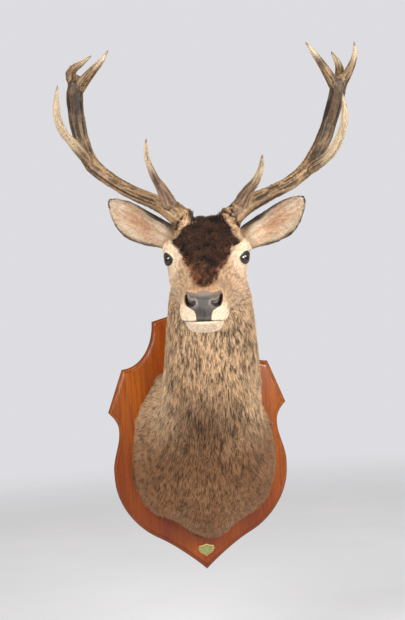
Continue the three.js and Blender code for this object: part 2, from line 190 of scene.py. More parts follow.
class MarkingSettings(bpy.types.PropertyGroup):
    """The colours of the hair and of the bare places."""

    cream: swatch("Cream", "Round the eyes and lips, and in the ears", 224, 204, 176)
    fawn: swatch("Fawn", "Sides of the face", 222, 186, 150)
    tan: swatch("Tan", "Cheeks and the cuffs of the antlers", 198, 152, 108)
    rust: swatch("Rust", "Edge of the forehead mat and ridge of the nose", 138, 84, 48)
    mat_dark: swatch("Mat, dark", "Middle of the forehead mat", 36, 22, 15)
    mat_brown: swatch("Mat, brown", "Rest of the forehead mat", 80, 47, 27)
    neck_pale: swatch("Neck, pale", "Throat and the coat by the board", 212, 178, 140)
    neck_mid: swatch("Neck, middle", "Sides and back of the neck", 150, 114, 82)
    neck_dark: swatch("Neck, dark", "Low on the neck and backs of the ears", 62, 39, 24)
    chest_pale: swatch("Chest, pale", "Paler hair of the chest", 164, 124, 88)
    chest_mid: swatch("Chest, middle", "Darker hair of the chest", 116, 80, 52)
    pad_grey: swatch("Nose pad", "Bare skin of the nose", 58, 52, 48)
    # the pad's paler upper edge, and a painted highlight on the wings of the nostrils
    pad_pale_and_highlight: swatch("Nose pad, pale", "Its upper edge and the wings of the nostrils", 138, 122, 108)
    nostril_brown: swatch("Nostril", "Inside the nostrils", 128, 78, 50)
    hollow_pink: swatch("Ear, pink", "Streak down the ear's hollow", 200, 142, 106)
    rim_dark: swatch("Ear rim", "Rims of the ears", 62, 46, 36)
    # dark bare skin of the lids and lips, and painted shade inside the nostrils
    bare_dark_and_shade: swatch("Bare skin, dark", "Lids, lips and nostrils", 24, 18, 16)


class CoatSettings(bpy.types.PropertyGroup):
    """Numbers of tufts in the coats."""

    body_tufts: IntProperty(name="Body tufts", description="In each neck or chest coat", default=48000)
    face_tufts: IntProperty(name="Face tufts", description="In each face coat", default=36000)
    mat_tufts: IntProperty(name="Mat tufts", description="In the forehead mat", default=18500)
    ear_tufts: IntProperty(name="Ear tufts", description="On each ear", default=8000)


class EyeSettings(bpy.types.PropertyGroup):
    """The glass eyes, in millimetres of their own."""

    iris_dark: swatch("Iris, dark", "Between the fibres", 20, 11, 6)
    iris_light: swatch("Iris, light", "Fibres", 58, 31, 14)
    iris_rim: swatch("Iris rim", "Edge of the iris", 14, 9, 7)
    pupil: swatch("Pupil", "Middle of the eye", 4, 4, 5)
    iris_radius: FloatProperty(name="Iris", description="Radius of the iris in millimetres", default=10.5)
    pupil_length: FloatProperty(name="Pupil length", description="Half of it in millimetres", default=6.4)
    pupil_height: FloatProperty(name="Pupil height", description="Half of it in millimetres", default=3.4)


class AntlerSettings(bpy.types.PropertyGroup):
    """The antlers' colours and pearls."""

    dark: swatch("Dark horn", "Grooves and the upper beam", 36, 26, 17)
    brown: swatch("Brown horn", "Lower beam", 90, 66, 43)
    tan: swatch("Worn horn", "Ridges", 168, 136, 98)
    grey: swatch("Grey horn", "Brow tines and the crust of the burrs", 132, 106, 86)
    ivory: swatch("Ivory", "Tips of the tines", 200, 178, 146)
    pearl_spacing: FloatProperty(
        name="Pearl spacing", description="Least distance between pearls", default=4.2 * MM, unit="LENGTH",
    )
    pearl_small: FloatProperty(
        name="Smallest pearl", description="Radius of the smallest", default=0.9 * MM, unit="LENGTH",
    )
    pearl_large: FloatProperty(
        name="Largest pearl", description="Radius of the largest", default=2.1 * MM, unit="LENGTH",
    )


class BoardSettings(bpy.types.PropertyGroup):
    """The colours of the board and its plaque."""

    wood_deep: swatch("Wood, deep", "Darker bands of the grain", 128, 56, 6)
    wood_warm: swatch("Wood, warm", "Paler bands of the grain", 164, 84, 12)
    # painted shade, darkening the board toward its lower end
    wood_low_shade: swatch("Wood, low", "Toward the board's lower end", 104, 36, 6)
    wood_grain: swatch("Grain", "Fine dark grain", 92, 36, 8)
    wood_pores: swatch("Pores", "Open pores", 64, 26, 10)
    # painted shade on the board's outer edge and in the groove of its moulding
    wood_edge_shade: swatch("Board edge", "Outer edge and the groove of its moulding", 40, 18, 10)
    brass_green: swatch("Brass bloom, green", "Plaque's face", 86, 96, 56)
    brass_pale: swatch("Brass bloom, pale", "Paler clouds on the plaque's face", 112, 112, 68)
    brass_rubbed: swatch("Brass, rubbed", "Plaque's rim and the nails", 150, 130, 82)
    brass_groove: swatch("Brass groove", "Line inside the plaque's rim", 70, 62, 40)


class StudioSettings(bpy.types.PropertyGroup):
    """The camera, its backdrop and lights."""

    lens: FloatProperty(name="Lens", description="Focal length", default=75, subtype="DISTANCE_CAMERA")
    camera_place: FloatVectorProperty(
        name="Camera place", description="Where the camera stands",
        default=(-0.2486, -3.1643, 0.3177), subtype="TRANSLATION",
    )
    camera_yaw: FloatProperty(
        name="Camera yaw", description="Turn to the right", default=math.radians(5), subtype="ANGLE",
    )
    camera_roll: FloatProperty(
        name="Camera roll", description="Roll about its line of sight",
        default=math.radians(3.5), subtype="ANGLE",
    )
    backdrop: swatch("Backdrop", "Behind the mount", 221, 221, 225)
    floor: swatch("Floor", "Under the mount", 242, 243, 247)
    warmth: FloatVectorProperty(
        name="Warmth", description="Colour of the lights", default=(1, 0.975, 0.95), subtype="COLOR",
    )
    fill: FloatProperty(name="Fill", description="Even light from all round", default=0.58, min=0)
    key_power: FloatProperty(name="Key power", description="Main soft light", default=88, unit="POWER")
    second_power: FloatProperty(
        name="Second power", description="Soft light from the other side", default=79.2, unit="POWER",
    )


# --- Meshes ---


def added(name, data):
    """A new object in the scene that holds a mesh already in its place, a light or a camera."""
    thing = bpy.data.objects.new(name, data)
    bpy.context.scene.collection.objects.link(thing)
    return thing


def mesh_from(bm, name):
    """A mesh made from an edited one, which is then let go."""
    mesh = bpy.data.meshes.new(name)
    bm.to_mesh(mesh)
    bm.free()
    return mesh


def read(items, field, width=3, kind=np.float32):
    """One field of every item, a row for each."""
    flat = np.empty(len(items) * width, kind)
    items.foreach_get(field, flat)
    return flat.reshape(-1, width)


def places_of(mesh):
    """Every vertex place, as an array."""
    return read(mesh.vertices, "co").astype(float)


def place(mesh, points):
    """Moves every vertex to a place in an array."""
    mesh.vertices.foreach_set("co", np.asarray(points, np.float32).ravel())
    mesh.update()


def normals_of(mesh):
    """Every vertex normal, as an array."""
    return read(mesh.vertex_normals, "vector").astype(float)


def faces_of(mesh):
    """The three vertices of every triangle."""
    mesh.calc_loop_triangles()
    return read(mesh.loop_triangles, "vertices", 3, np.int32)


def scattered(points, faces, weight, count, chance):
    """Settled random spots, thick where the weight is high: each one's triangle and its three shares."""
    a, b, c = (points[faces[:, corner]] for corner in range(3))
    area = np.linalg.norm(np.cross(b - a, c - a), axis=1) * weight[faces].mean(axis=1)
    ends = np.cumsum(area)
    picks = (np.arange(count) + chance.random(count)) / count * ends[-1]
    face = faces[np.minimum(np.searchsorted(ends, picks), len(ends) - 1)]
    first, second = chance.random((2, count))
    over = first + second > 1
    first, second = np.where(over, 1 - first, first), np.where(over, 1 - second, second)
    return face, np.stack((1 - first - second, first, second), axis=1)[..., None]


def edges_of(mesh):
    """The two vertices of every edge."""
    return read(mesh.edges, "vertices", 2, np.int32)


def tree_of(points):
    """A tree that finds the nearest of some points."""
    tree = KDTree(len(points))
    for index, point in enumerate(points):
        tree.insert(point, index)
    tree.balance()
    return tree


def nearest(tree, spots):
    """Which of a tree's points is nearest to each spot."""
    return np.array([tree.find(spot)[1] for spot in spots])


def near_average(values, edges):
    """For each vertex, the average of its neighbours' values."""
    start, end = np.concatenate((edges, edges[:, ::-1])).T
    counts = np.maximum(np.bincount(start, minlength=len(values)), 1)
    columns = [np.bincount(start, column[end], len(values)) / counts for column in values.T]
    return np.stack(columns, axis=1)


KEEP_SIZE = (0.5, -0.52)
PULL_TIGHT = (0.6,)


def relaxed(points, edges, rounds, share=1.0, steps=KEEP_SIZE):
    """Points evened out with their neighbours: with KEEP_SIZE a surface keeps its size, with PULL_TIGHT
    it draws in like a film."""
    for _ in range(rounds):
        for step in steps:
            points = points + step * share * (near_average(points, edges) - points)
    return points


def calmed(points, edges, share, rounds, steps=KEEP_SIZE):
    """Points evened out only where their share is above none."""
    moving = share > 0.01
    used = edges[moving[edges].any(axis=1)]
    chosen, renamed = np.unique(used, return_inverse=True)
    points = points.copy()
    points[chosen] = relaxed(points[chosen], renamed.reshape(-1, 2), rounds, share[chosen, None], steps)
    return points


def keep_attribute(mesh, name, values):
    """Stores one number, vector or colour for each vertex."""
    kinds = {1: ("FLOAT", "value"), 3: ("FLOAT_VECTOR", "vector"), 4: ("FLOAT_COLOR", "color")}
    values = np.asarray(values, np.float32)
    kind, field = kinds[1 if values.ndim == 1 else values.shape[1]]
    mesh.attributes.new(name, kind, "POINT").data.foreach_set(field, values.ravel())


def with_alpha(colours):
    """Colours with a full alpha beside each."""
    return np.column_stack((colours, np.ones(len(colours))))


def settle(piece):
    """Makes a piece's live modifiers part of its mesh."""
    seen = piece.evaluated_get(bpy.context.evaluated_depsgraph_get())
    shaped = bpy.data.meshes.new_from_object(seen)
    rough = piece.data
    piece.modifiers.clear()
    piece.data = shaped
    bpy.data.meshes.remove(rough)


def fused(name, parts, voxel, web=()):
    """A new piece with one closed surface around several solid parts and a web stretched over balls."""
    bm = bmesh.new()
    for centre, radius in web:
        bmesh.ops.create_icosphere(bm, subdivisions=2, radius=radius, matrix=Matrix.Translation(centre))
    if web:
        bmesh.ops.delete(bm, geom=bm.edges[:], context="EDGES_FACES")
        hull = bmesh.ops.convex_hull(bm, input=bm.verts)
        bmesh.ops.delete(bm, geom=hull["geom_interior"], context="VERTS")
    for part in parts:
        bm.from_mesh(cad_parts[part].data)
    bmesh.ops.remove_doubles(bm, verts=bm.verts, dist=1e-6)
    piece = added(name, mesh_from(bm, name))
    piece.modifiers.new("Fuse", "REMESH").voxel_size = voxel
    settle(piece)
    return piece


def finished(piece, slot, *materials):
    """Gives a piece its materials and its body; its slot is not used."""
    for material in materials:
        piece.data.materials.append(material)
    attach(piece, BODY)
    return piece


THIN_FACTOR = 0.1  # how much the weights count


def thinned(piece, weights, ratio):
    """Fewer faces, taken where the weights are high."""
    group = piece.vertex_groups.new(name="plain")
    for level in (0.5, 1.0):
        chosen = np.flatnonzero((weights > level - 0.5) & (weights <= level))
        group.add(chosen.tolist(), level, "REPLACE")
    thin = piece.modifiers.new("Thin", "DECIMATE")
    thin.ratio = ratio
    thin.vertex_group = group.name
    thin.vertex_group_factor = THIN_FACTOR
    settle(piece)
    piece.vertex_groups.clear()


# --- The animal's regions ---

JOIN_FADE = 9 * MM
COAT_DEPTH = {
    "chest": 6.5, "neck_lower": 7, "neck_upper": 5, "head": 2.4, "muzzle": 1.3, "nose": 0.6,
    "lower_jaw": 1.8, "ear_left": 1.0, "ear_right": 1.0,
}  # millimetres


def owners(points):
    """How far each part of flesh owns each point: a share for each, fading across their joins."""
    reach = 4 * JOIN_FADE
    shares = np.zeros((len(points), len(FLESH)))
    for column, part in enumerate(FLESH):
        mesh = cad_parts[part].data
        tree = BVHTree.FromPolygons([v.co for v in mesh.vertices], [p.vertices for p in mesh.polygons])
        low, high = (np.array(corner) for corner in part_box(part))
        close = np.all((points > low - reach) & (points < high + reach), axis=1)
        for index in np.flatnonzero(close):
            gap = tree.find_nearest(points[index], reach)[3]
            if gap is not None:
                shares[index, column] = math.exp(-gap / JOIN_FADE)
    return shares / np.maximum(shares.sum(axis=1, keepdims=True), 1e-9)


def share_of(shares, *parts):
    """The share that some parts own together."""
    return sum(shares[:, FLESH.index(part)] for part in parts)


def ears(shares):
    """The share that either ear owns."""
    return share_of(shares, *EARS)


def head_and_ears(shares):
    """The share that the head's parts and the ears own."""
    return share_of(shares, *HEAD) + ears(shares)


# Half the width of the dark forehead mat at places along the head, in millimetres.
MAT_AHEAD = (-112, -90, -70, -57, -30, -12, -4, 3, 20, 40, 60, 90, 120, 150, 175, 195)
MAT_HALF = (24, 36, 44, 50, 55, 73, 62, 54, 48, 44, 43, 41, 36, 27, 18, 9)


def mat_share(local, edge):
    """How much of the dark forehead mat covers each point."""
    side, ahead, above = local.T
    half = np.interp(ahead, MAT_AHEAD, MAT_HALF) + 3 * mottle(local, 9, 5)
    edge = edge + 18 * ramp(ahead, 30, 110)
    across = ramp(half - np.abs(side), -edge / 2, edge)
    top = ramp(above, 17 - 12 * ramp(ahead, 0, 60), 27 - 12 * ramp(ahead, 0, 60))
    length = ramp(ahead, -122, -100) * ramp(ahead, 206, 170)
    return across * top * length


# The bare nose pad: half its width at heights along its face.
PAD_ABOVE = (-36, -29, -20, -13, -9.5, -7.5, -2.7, 3, 10, 14.5, 15.5, 17.5)
PAD_HALF = (15, 15.3, 16, 19.5, 28, 34, 38, 38, 36, 32, 30, 28)
PAD_BACK = 188
# How far ahead the pad's upper edge lies, at widths from the middle.
PAD_EDGE_SIDE = (0, 6, 14, 26, 33, 38)
PAD_EDGE_AHEAD = (199, 202, 206, 200, 192, 194)


def pad_inside(local):
    """Millimetres that each point lies inside the edge of the bare nose pad."""
    side, ahead, above = local.T
    inside = np.interp(above, PAD_ABOVE, PAD_HALF) - np.abs(side)
    back = ahead - np.interp(np.abs(side), PAD_EDGE_SIDE, PAD_EDGE_AHEAD)
    front = np.minimum(mouth_height(local), back)
    inside = np.where(above > 12, np.minimum(back, inside), inside)
    return np.clip(np.minimum(inside, front), -9, 9)


MOUTH_FRONT, MOUTH_LEVEL = 236, -33
MOUTH_SLOPE = np.array((-0.39, 0.92))
MOUTH_CORNER = 182
LIPS_TOP = -20  # nothing higher belongs to the lips


def mouth_height(local):
    """Millimetres above the line where the lips meet."""
    return (local[:, 1] - MOUTH_FRONT) * MOUTH_SLOPE[0] + (local[:, 2] - MOUTH_LEVEL) * MOUTH_SLOPE[1]


def stroke_distance(points, stroke):
    """Distance from each point to a chain of places, less the stroke's own half width there."""
    best = np.full(len(points), np.inf)
    for start, end in zip(stroke[:-1], stroke[1:]):
        a, b = np.array(start, float), np.array(end, float)
        along = b[:-1] - a[:-1]
        t = np.clip((points - a[:-1]) @ along / (along @ along), 0, 1)
        gap = np.linalg.norm(points - a[:-1] - t[:, None] * along, axis=1)
        best = np.minimum(best, gap - (a[-1] + t * (b[-1] - a[-1])))
    return best


# Each nostril as a comma on the pad's face: side, above and half width.
NOSTRIL = ((18, 1.2, 2.6), (23.5, -1.8, 5.2), (29, -2.2, 5.8), (33.5, 4, 3.9), (35, 12, 1.4))
# The scent slit below each eye: side, ahead, above and half width.
SCENT_SLIT = ((63.5, 25, -3, 0.2), (61.5, 33, -9.5, 0.7), (58, 45, -21, 0.3))


def nostril_distance(local):
    """Millimetres outside the edge of the nearer nostril."""
    flat = np.stack((np.abs(local[:, 0]), local[:, 2]), axis=1)
    return np.where(local[:, 1] > PAD_BACK, stroke_distance(flat, NOSTRIL), 30)


def mirrored(local):
    """Points with both sides of the head laid on one."""
    return np.abs(local) * (1, 0, 0) + local * (0, 1, 1)


def slit_distance(local):
    """Millimetres outside the nearer scent slit."""
    return stroke_distance(mirrored(local), SCENT_SLIT)


# The eye: its opening between the lids, in millimetres round the ball.
EYE_RADIUS = 18.5
EYE_FORWARD = math.radians(36)
EYE_TILT = math.radians(-6)
EYE_LENGTH, EYE_UPPER, EYE_LOWER = 12.6, 9.8, 9.0
EYE_SQUARENESS = 1.9  # 2 would make the opening's halves true ellipses
LID_REACH = 15.0  # what the ball's inner half has added to its distance, so that it never opens
EYE_REGION, FAR_OFF = 45, 60  # how far the eye's region reaches, and what is added beyond it


def eye_axes(side):
    """The eye's own axes in the frame: toward its front corner, upward, and outward."""
    out = unit(head_direction(SIDES[side] * math.cos(EYE_FORWARD), math.sin(EYE_FORWARD), 0.06))
    ahead = head_direction(0, math.cos(EYE_TILT), -math.sin(EYE_TILT))
    ahead = unit(ahead - out * (ahead @ out))
    up = np.cross(out, ahead)
    return np.stack((ahead, up * np.sign(up @ head_direction(0, 0, 1)), out))


def round_eye(points, side):
    """For each point: millimetres outside the lids' opening, height round the ball, radius, outwardness."""
    local = (points - middle("eye_" + side)) @ eye_axes(side).T / MM
    radius = np.linalg.norm(local, axis=1)
    x, y, outward = (local * (EYE_RADIUS / radius)[:, None]).T
    height = np.where(y > 0, EYE_UPPER, EYE_LOWER)
    power = EYE_SQUARENESS
    size = ((np.abs(x) / EYE_LENGTH) ** power + (np.abs(y) / height) ** power) ** (1 / power)
    reach = np.hypot(x, y)
    outside = reach - reach / np.maximum(size, 1e-6)
    outside = np.where(outward > 0, outside, outside + LID_REACH)
    return outside, y, radius, outward / EYE_RADIUS


def eye_nearness(points):
    """Millimetres outside the nearer eye's opening, and far more for points away from both eyes."""
    gaps = []
    for side in SIDES:
        outside, _, radius, _ = round_eye(points, side)
        gaps.append(outside + FAR_OFF * (radius > EYE_REGION))
    return np.minimum(*gaps)


# --- Skin ---

SPLIT_ROUNDS = 4
FILM_ROUNDS = 160  # how long the skin round an eye is drawn tight


def subdivided(mesh, chosen):
    """Splits the faces whose every vertex is chosen."""
    bm = bmesh.new()
    bm.from_mesh(mesh)
    inside = chosen(places_of(mesh))
    edges = [edge for edge in bm.edges if inside[edge.verts[0].index] and inside[edge.verts[1].index]]
    bmesh.ops.subdivide_edges(bm, edges=edges, cuts=1, use_grid_fill=True)
    bmesh.ops.triangulate(bm, faces=bm.faces)
    bm.to_mesh(mesh)
    bm.free()
    points = places_of(mesh)
    place(mesh, relaxed(points, edges_of(mesh), SPLIT_ROUNDS, chosen(points)[:, None].astype(float)))


def fine_places(points, margin):
    """Which points lie round the eyes, the nostrils or the lips, where the skin needs small faces."""
    local = to_head(points)
    eye = eye_nearness(points) < 5 + 2 * margin
    nostril = nostril_distance(local) < 4 + margin
    pad = (pad_inside(local) > -margin) & (local[:, 1] > PAD_BACK)
    lips = (np.abs(mouth_height(local)) < 3 + margin) & (local[:, 1] > MOUTH_CORNER - 6 - margin)
    slit = slit_distance(local) < 2 + margin
    return eye | nostril | pad | (lips & (local[:, 2] < LIPS_TOP)) | slit


BURR_CLEAR = (34 * MM, 58 * MM)  # the long hair fades out between these distances from a burr
BOARD_JOIN = (0.022, 0.034)  # the skin draws in under its coat between these distances from the wall


def from_burrs(points):
    """Distance from each point to the nearer burr."""
    return np.minimum(*(np.linalg.norm(points - middle(f"antler_{side}_burr"), axis=1) for side in SIDES))


def inset(points, normals, shares, local):
    """The skin's places, inside the coat's tips by the depth of coat over each."""
    depth = shares @ [COAT_DEPTH[part] for part in FLESH]
    mat = mat_share(local, 26) * (3 + 5 * ramp(local[:, 1], 80, 0))
    mat *= ramp(from_burrs(points), *BURR_CLEAR) * ramp(np.abs(local[:, 0]), 62, 42)
    depth += mat * (1 - ears(shares))
    depth *= ramp(-points[:, 1], *BOARD_JOIN)
    return points - normals * depth[:, None] * MM


# The lids' height over the ball at distances outside their opening, in millimetres.
LID_OUTSIDE = (-2.5, -0.5, 0.4, 1.4, 3.0, 5)
LID_RISE = (-3.0, -0.8, 1.0, 1.9, 2.3, 2.4)


def set_lids(points, edges):
    """Opens the lids round each eye ball, with a rounded rim, and draws the face smoothly up to them."""
    for side in SIDES:
        outside, height, radius, _ = round_eye(points, side)
        goal = np.interp(outside, LID_OUTSIDE, LID_RISE)
        goal += 0.8 * ramp(height, -3, 5) * bump(outside, 2.2, 2.0)
        near = ramp(outside, 8, 4) * (radius < 30)
        moved = radius + (EYE_RADIUS + goal - radius) * near
        centre = middle("eye_" + side)
        points = centre + (points - centre) * (moved / radius)[:, None]
        ahead = to_head(points)[:, 1]
        film = ramp(outside, 2.6, 4.5) * ramp(outside, 24, 16) * (radius < 46) * ramp(ahead, -6, 4)
        points = calmed(points, edges, film, FILM_ROUNDS, PULL_TIGHT)
    return points


def crease_lids(points, normals):
    """The fold above each upper lid and the fainter one below each eye."""
    for side in SIDES:
        outside, height, radius, _ = round_eye(points, side)
        upper = ramp(height, -2, 5)
        rise = -1.2 * upper * bump(outside, 6.8, 1.2) + 0.7 * upper * bump(outside, 9.5, 2.4)
        rise -= 0.7 * (1 - upper) * bump(outside, 5.2, 1.0)
        points = points + normals * (rise * (radius < 40) * MM)[:, None]
    return points


NOSTRIL_DEPTH, MOUTH_DEPTH, SLIT_DEPTH = 13, 4.2, 2.4


def carve_muzzle(points, normals):
    """Sinks the nostrils, the groove below them, the line of the mouth and the scent slits."""
    local = to_head(points)
    side, ahead, above = local.T
    nostril = nostril_distance(local)
    inward = -unit(np.stack((0.25 * np.sign(side), np.ones(len(side)), 0.1 * np.ones(len(side))), axis=1))
    move = inward * (NOSTRIL_DEPTH * ramp(nostril, 0.6, -2.6) * (ahead > PAD_BACK))[:, None]
    pad = ramp(pad_inside(local), -1, 3)
    mouth = mouth_height(local)
    lips = ramp(ahead, MOUTH_CORNER - 4, MOUTH_CORNER + 8) * (above < LIPS_TOP)
    rise = 1.5 * bump(nostril, 2.0, 1.5) * ramp(above, -9, 0)
    rise -= 1.1 * pad * bump(side, 0, 1.3) * ramp(above, -6, -12)
    rise -= MOUTH_DEPTH * lips * bump(mouth, 0, 0.9)
    rise += 1.4 * lips * (bump(mouth, 4.5, 3.5) + 0.8 * bump(mouth, -5, 3.5))
    rise -= SLIT_DEPTH * ramp(slit_distance(local), 1.6, -0.4)
    move[:, 1] += 3.5 * lips * ramp(ahead, 195, 215) * bump(mouth, -8, 7)
    move[:, 2] -= 2.5 * ramp(ahead, 170, 205) * ramp(mouth, -12, -24)
    return points + (from_head(move) - HEAD_PLACE) + normals * rise[:, None] * MM


# Each ear from its root to its tip in the head's millimetres, how much lower the left one hangs than
# the middle of the two, and the way that its hollow looks.
EAR_ROOT, EAR_TIP, EAR_LEFT_DROP = (66, -105, -6), (210, -115, 90), 2.5
EAR_FACING = (0.1, 0.9, 0.42)
# The ear's width above and below its line at places along it, in millimetres.
EAR_REACH = (0, 0.15, 0.32, 0.48, 0.6, 0.72, 0.84, 0.94, 1)
EAR_UPPER = (22, 24, 24, 23, 23, 21.5, 17, 9.5, 2)
EAR_LOWER = (24, 31, 43, 49, 50, 44, 31, 16, 2.5)


def ear_front(side):
    """The way that an ear's hollow looks."""
    return unit(head_direction(EAR_FACING[0] * SIDES[side], *EAR_FACING[1:]))


def ear_line(side):
    """An ear's root, its tip, and the way across it toward its upper edge."""
    drop = np.array((0, 0, EAR_LEFT_DROP * SIDES[side]))
    base, tip = (from_head(np.array(end) * (SIDES[side], 1, 1) - drop) for end in (EAR_ROOT, EAR_TIP))
    across = unit(np.cross(ear_front(side), unit(tip - base)))
    return base, tip, across * np.sign(across @ head_direction(0, 0, 1))


def on_ear(points, side):
    """Each point's place along an ear from 0 to 1, across it, and from its rim, in millimetres."""
    base, tip, across = ear_line(side)
    reach = (points - base) @ unit(tip - base) / np.linalg.norm(tip - base)
    width = (points - base) @ across / MM
    upper, lower = (np.interp(reach, EAR_REACH, edge) for edge in (EAR_UPPER, EAR_LOWER))
    return reach, width, np.minimum(upper - width, width + lower)


def fold_ears(points, normals, shares):
    """Long low ridges down the hollow of each ear."""
    for side in SIDES:
        share = share_of(shares, "ear_" + side)
        reach, width, _ = on_ear(points, side)
        front = ramp(normals @ ear_front(side), 0.3, 0.7)
        ridges = np.cos(width * 0.52) * ramp(reach, 0.05, 0.3) * ramp(reach, 0.9, 0.5)
        points = points + normals * (share * front * ridges * 0.9 * MM)[:, None]
    return points


BEHIND_BOARD = 0.03  # nearer to the wall than this, the skin is all but hidden
MOUTH_CORNER_PLACE = (39, MOUTH_CORNER, -57)
# Rounds of evening out.
FUSED_ROUNDS, THINNED_ROUNDS, INSET_ROUNDS, CORNER_ROUNDS, EAR_ROUNDS = 10, 30, 4, 6, 3
FINE_MARGINS = (5, 1)  # how far round the small features the faces are split, in millimetres, each time


def make_skin(voxel, ratio):
    """One skin over every part of flesh, with its lids, nostrils, lips and ear folds."""
    piece = fused("skin", FLESH + EYE_BALLS, voxel)
    mesh = piece.data
    place(mesh, relaxed(places_of(mesh), edges_of(mesh), FUSED_ROUNDS))
    points = places_of(mesh)
    local = to_head(points)
    face = ramp(local[:, 2], -140, -110) * ramp(local[:, 1], -170, -140)
    thinned(piece, np.where(points[:, 1] > -BEHIND_BOARD, 1.0, 1 - face), ratio)
    mesh = piece.data
    place(mesh, relaxed(places_of(mesh), edges_of(mesh), THINNED_ROUNDS))
    points = places_of(mesh)
    shares = owners(points)
    place(mesh, inset(points, normals_of(mesh), shares, to_head(points)))
    place(mesh, relaxed(places_of(mesh), edges_of(mesh), INSET_ROUNDS))
    for margin in FINE_MARGINS:
        subdivided(mesh, lambda spots: fine_places(spots, margin))
    place(mesh, set_lids(places_of(mesh), edges_of(mesh)))
    place(mesh, crease_lids(places_of(mesh), normals_of(mesh)))
    place(mesh, carve_muzzle(places_of(mesh), normals_of(mesh)))
    points = places_of(mesh)
    corner = np.linalg.norm(mirrored(to_head(points)) - MOUTH_CORNER_PLACE, axis=1)
    place(mesh, calmed(points, edges_of(mesh), ramp(corner, 16, 6), CORNER_ROUNDS))
    shares = owners(places_of(mesh))
    place(mesh, calmed(places_of(mesh), edges_of(mesh), ears(shares), EAR_ROUNDS, PULL_TIGHT))
    place(mesh, fold_ears(places_of(mesh), normals_of(mesh), shares))
    mesh.shade_smooth()
    return piece, shares


# --- Markings ---


def rim_edges(rise_round):
    """Where the dark rim of the lids starts to fade and ends, broader along the upper lid."""
    upper = 1.6 * ramp(rise_round, -1, 6)
    return 2.7 + upper, 1.7 + upper


def ear_markings(points, normals, shares, colour):
    """Ears: cream hollows streaked with pink, dark rims, and brown backs."""
    coat = bpy.context.scene.stag_markings
    for side in SIDES:
        share = share_of(shares, "ear_" + side)
        reach, width, rim = on_ear(points, side)
        front = ramp(normals @ ear_front(side), 0.0, 0.35)
        streak = mottle(np.stack((reach * 0.6, width / 32, reach * 0), axis=1), 0.12, 21)
        middle_streak = bump(reach, 0.45, 0.25) * bump(width + 12 - 16 * reach, 0, 15)
        pale = mix(coat.cream, coat.fawn, 0.2 + 0.4 * streak)
        hollow = mix(pale, coat.hollow_pink, np.clip(0.7 * middle_streak + 0.3 * streak, 0, 1))
        shaded = ramp(reach, 0.55, 0.3) * ramp(width - 24 * reach + 4 * streak, 0, 10)
        hollow = mix(hollow, coat.neck_dark, 0.9 * shaded)
        back = mix(coat.neck_mid, coat.neck_dark, 0.5 * ramp(reach, 0.2, 0.9))
        edge = ramp(rim + 2 * streak, 8, 3.5) * ramp(reach, 0.05, 0.3)
        ear = mix(mix(back, hollow, front), coat.rim_dark, 0.85 * edge)
        colour = mix(colour, ear, ramp(share, 0.3, 0.8) * ramp(reach, 0.02, 0.15))
    return colour


def body_markings(points, normals):
    """Neck and chest: pale up the throat and on the sides, the sides partly by painted light, dark low on the
    neck, pale again where the coat meets the board.
    """
    coat = bpy.context.scene.stag_markings
    height = points[:, 2]
    patch = mottle(points, 0.06, 3)
    front = ramp(normals[:, 1], -0.2, -0.75)
    # the sides low on the neck are paler: partly the coat's own colour, partly painted light
    sides = 0.9 * ramp(np.abs(points[:, 0]), 0.05, 0.1) * ramp(height, 0, 0.15)
    throat = np.maximum(ramp(height, 0.15, 0.29) * front, sides)
    neck = mix(mix(coat.neck_mid, coat.neck_pale, 0.3 + 0.25 * patch), coat.neck_pale, 0.8 * throat)
    low = bump(height, 0.07, 0.06) * bump(points[:, 0], -0.015, 0.08) * front
    neck = mix(neck, coat.neck_dark, np.clip(0.9 * low + 0.15 * low * patch, 0, 1))
    chest = mix(coat.chest_mid, coat.chest_pale, 0.25 + 0.25 * patch)
    body = mix(chest, neck, ramp(height + 0.02 * patch, -0.02, 0.1))
    by_board = ramp(-points[:, 1], 0.045, 0.03) * ramp(height, -0.1, -0.2)
    return mix(body, coat.neck_pale, 0.6 * by_board)


def face_markings(points, shares):
    """Face: fawn sides, tan cheeks, a rusty ridge, and cream round the eyes, lips and chin."""
    coat = bpy.context.scene.stag_markings
    local = to_head(points)
    side, ahead, above = local.T
    out = np.abs(side)
    face = mix(coat.fawn, coat.tan, 0.5 * ramp(ahead, 20, 110) * ramp(out, 20, 42))
    near_eye = ramp(eye_nearness(points) + 4 * mottle(local, 6, 8), 30, 2)
    cream = 0.85 * near_eye * (1 - 0.5 * ramp(above, -6, -30))
    cream = np.maximum(cream, 0.8 * ramp(ahead, 190, 207) * ramp(above, 2, -14))
    cream = np.maximum(cream, ramp(ahead, 180, 204) * ramp(mouth_height(local), 33, 17) * ramp(out, 22, 32))
    cream = np.maximum(cream, share_of(shares, "lower_jaw") * ramp(ahead, 165, 190))
    face = mix(face, mix(coat.tan, coat.neck_mid, 0.6), 0.85 * ramp(ahead, -30, -120))
    face = mix(face, coat.cream, cream)
    ridge = ramp(above, 6, 14) * ramp(ahead, 40, 100) * ramp(out, 34, 18)
    return mix(face, mix(coat.tan, coat.rust, 0.5), 0.8 * ridge)


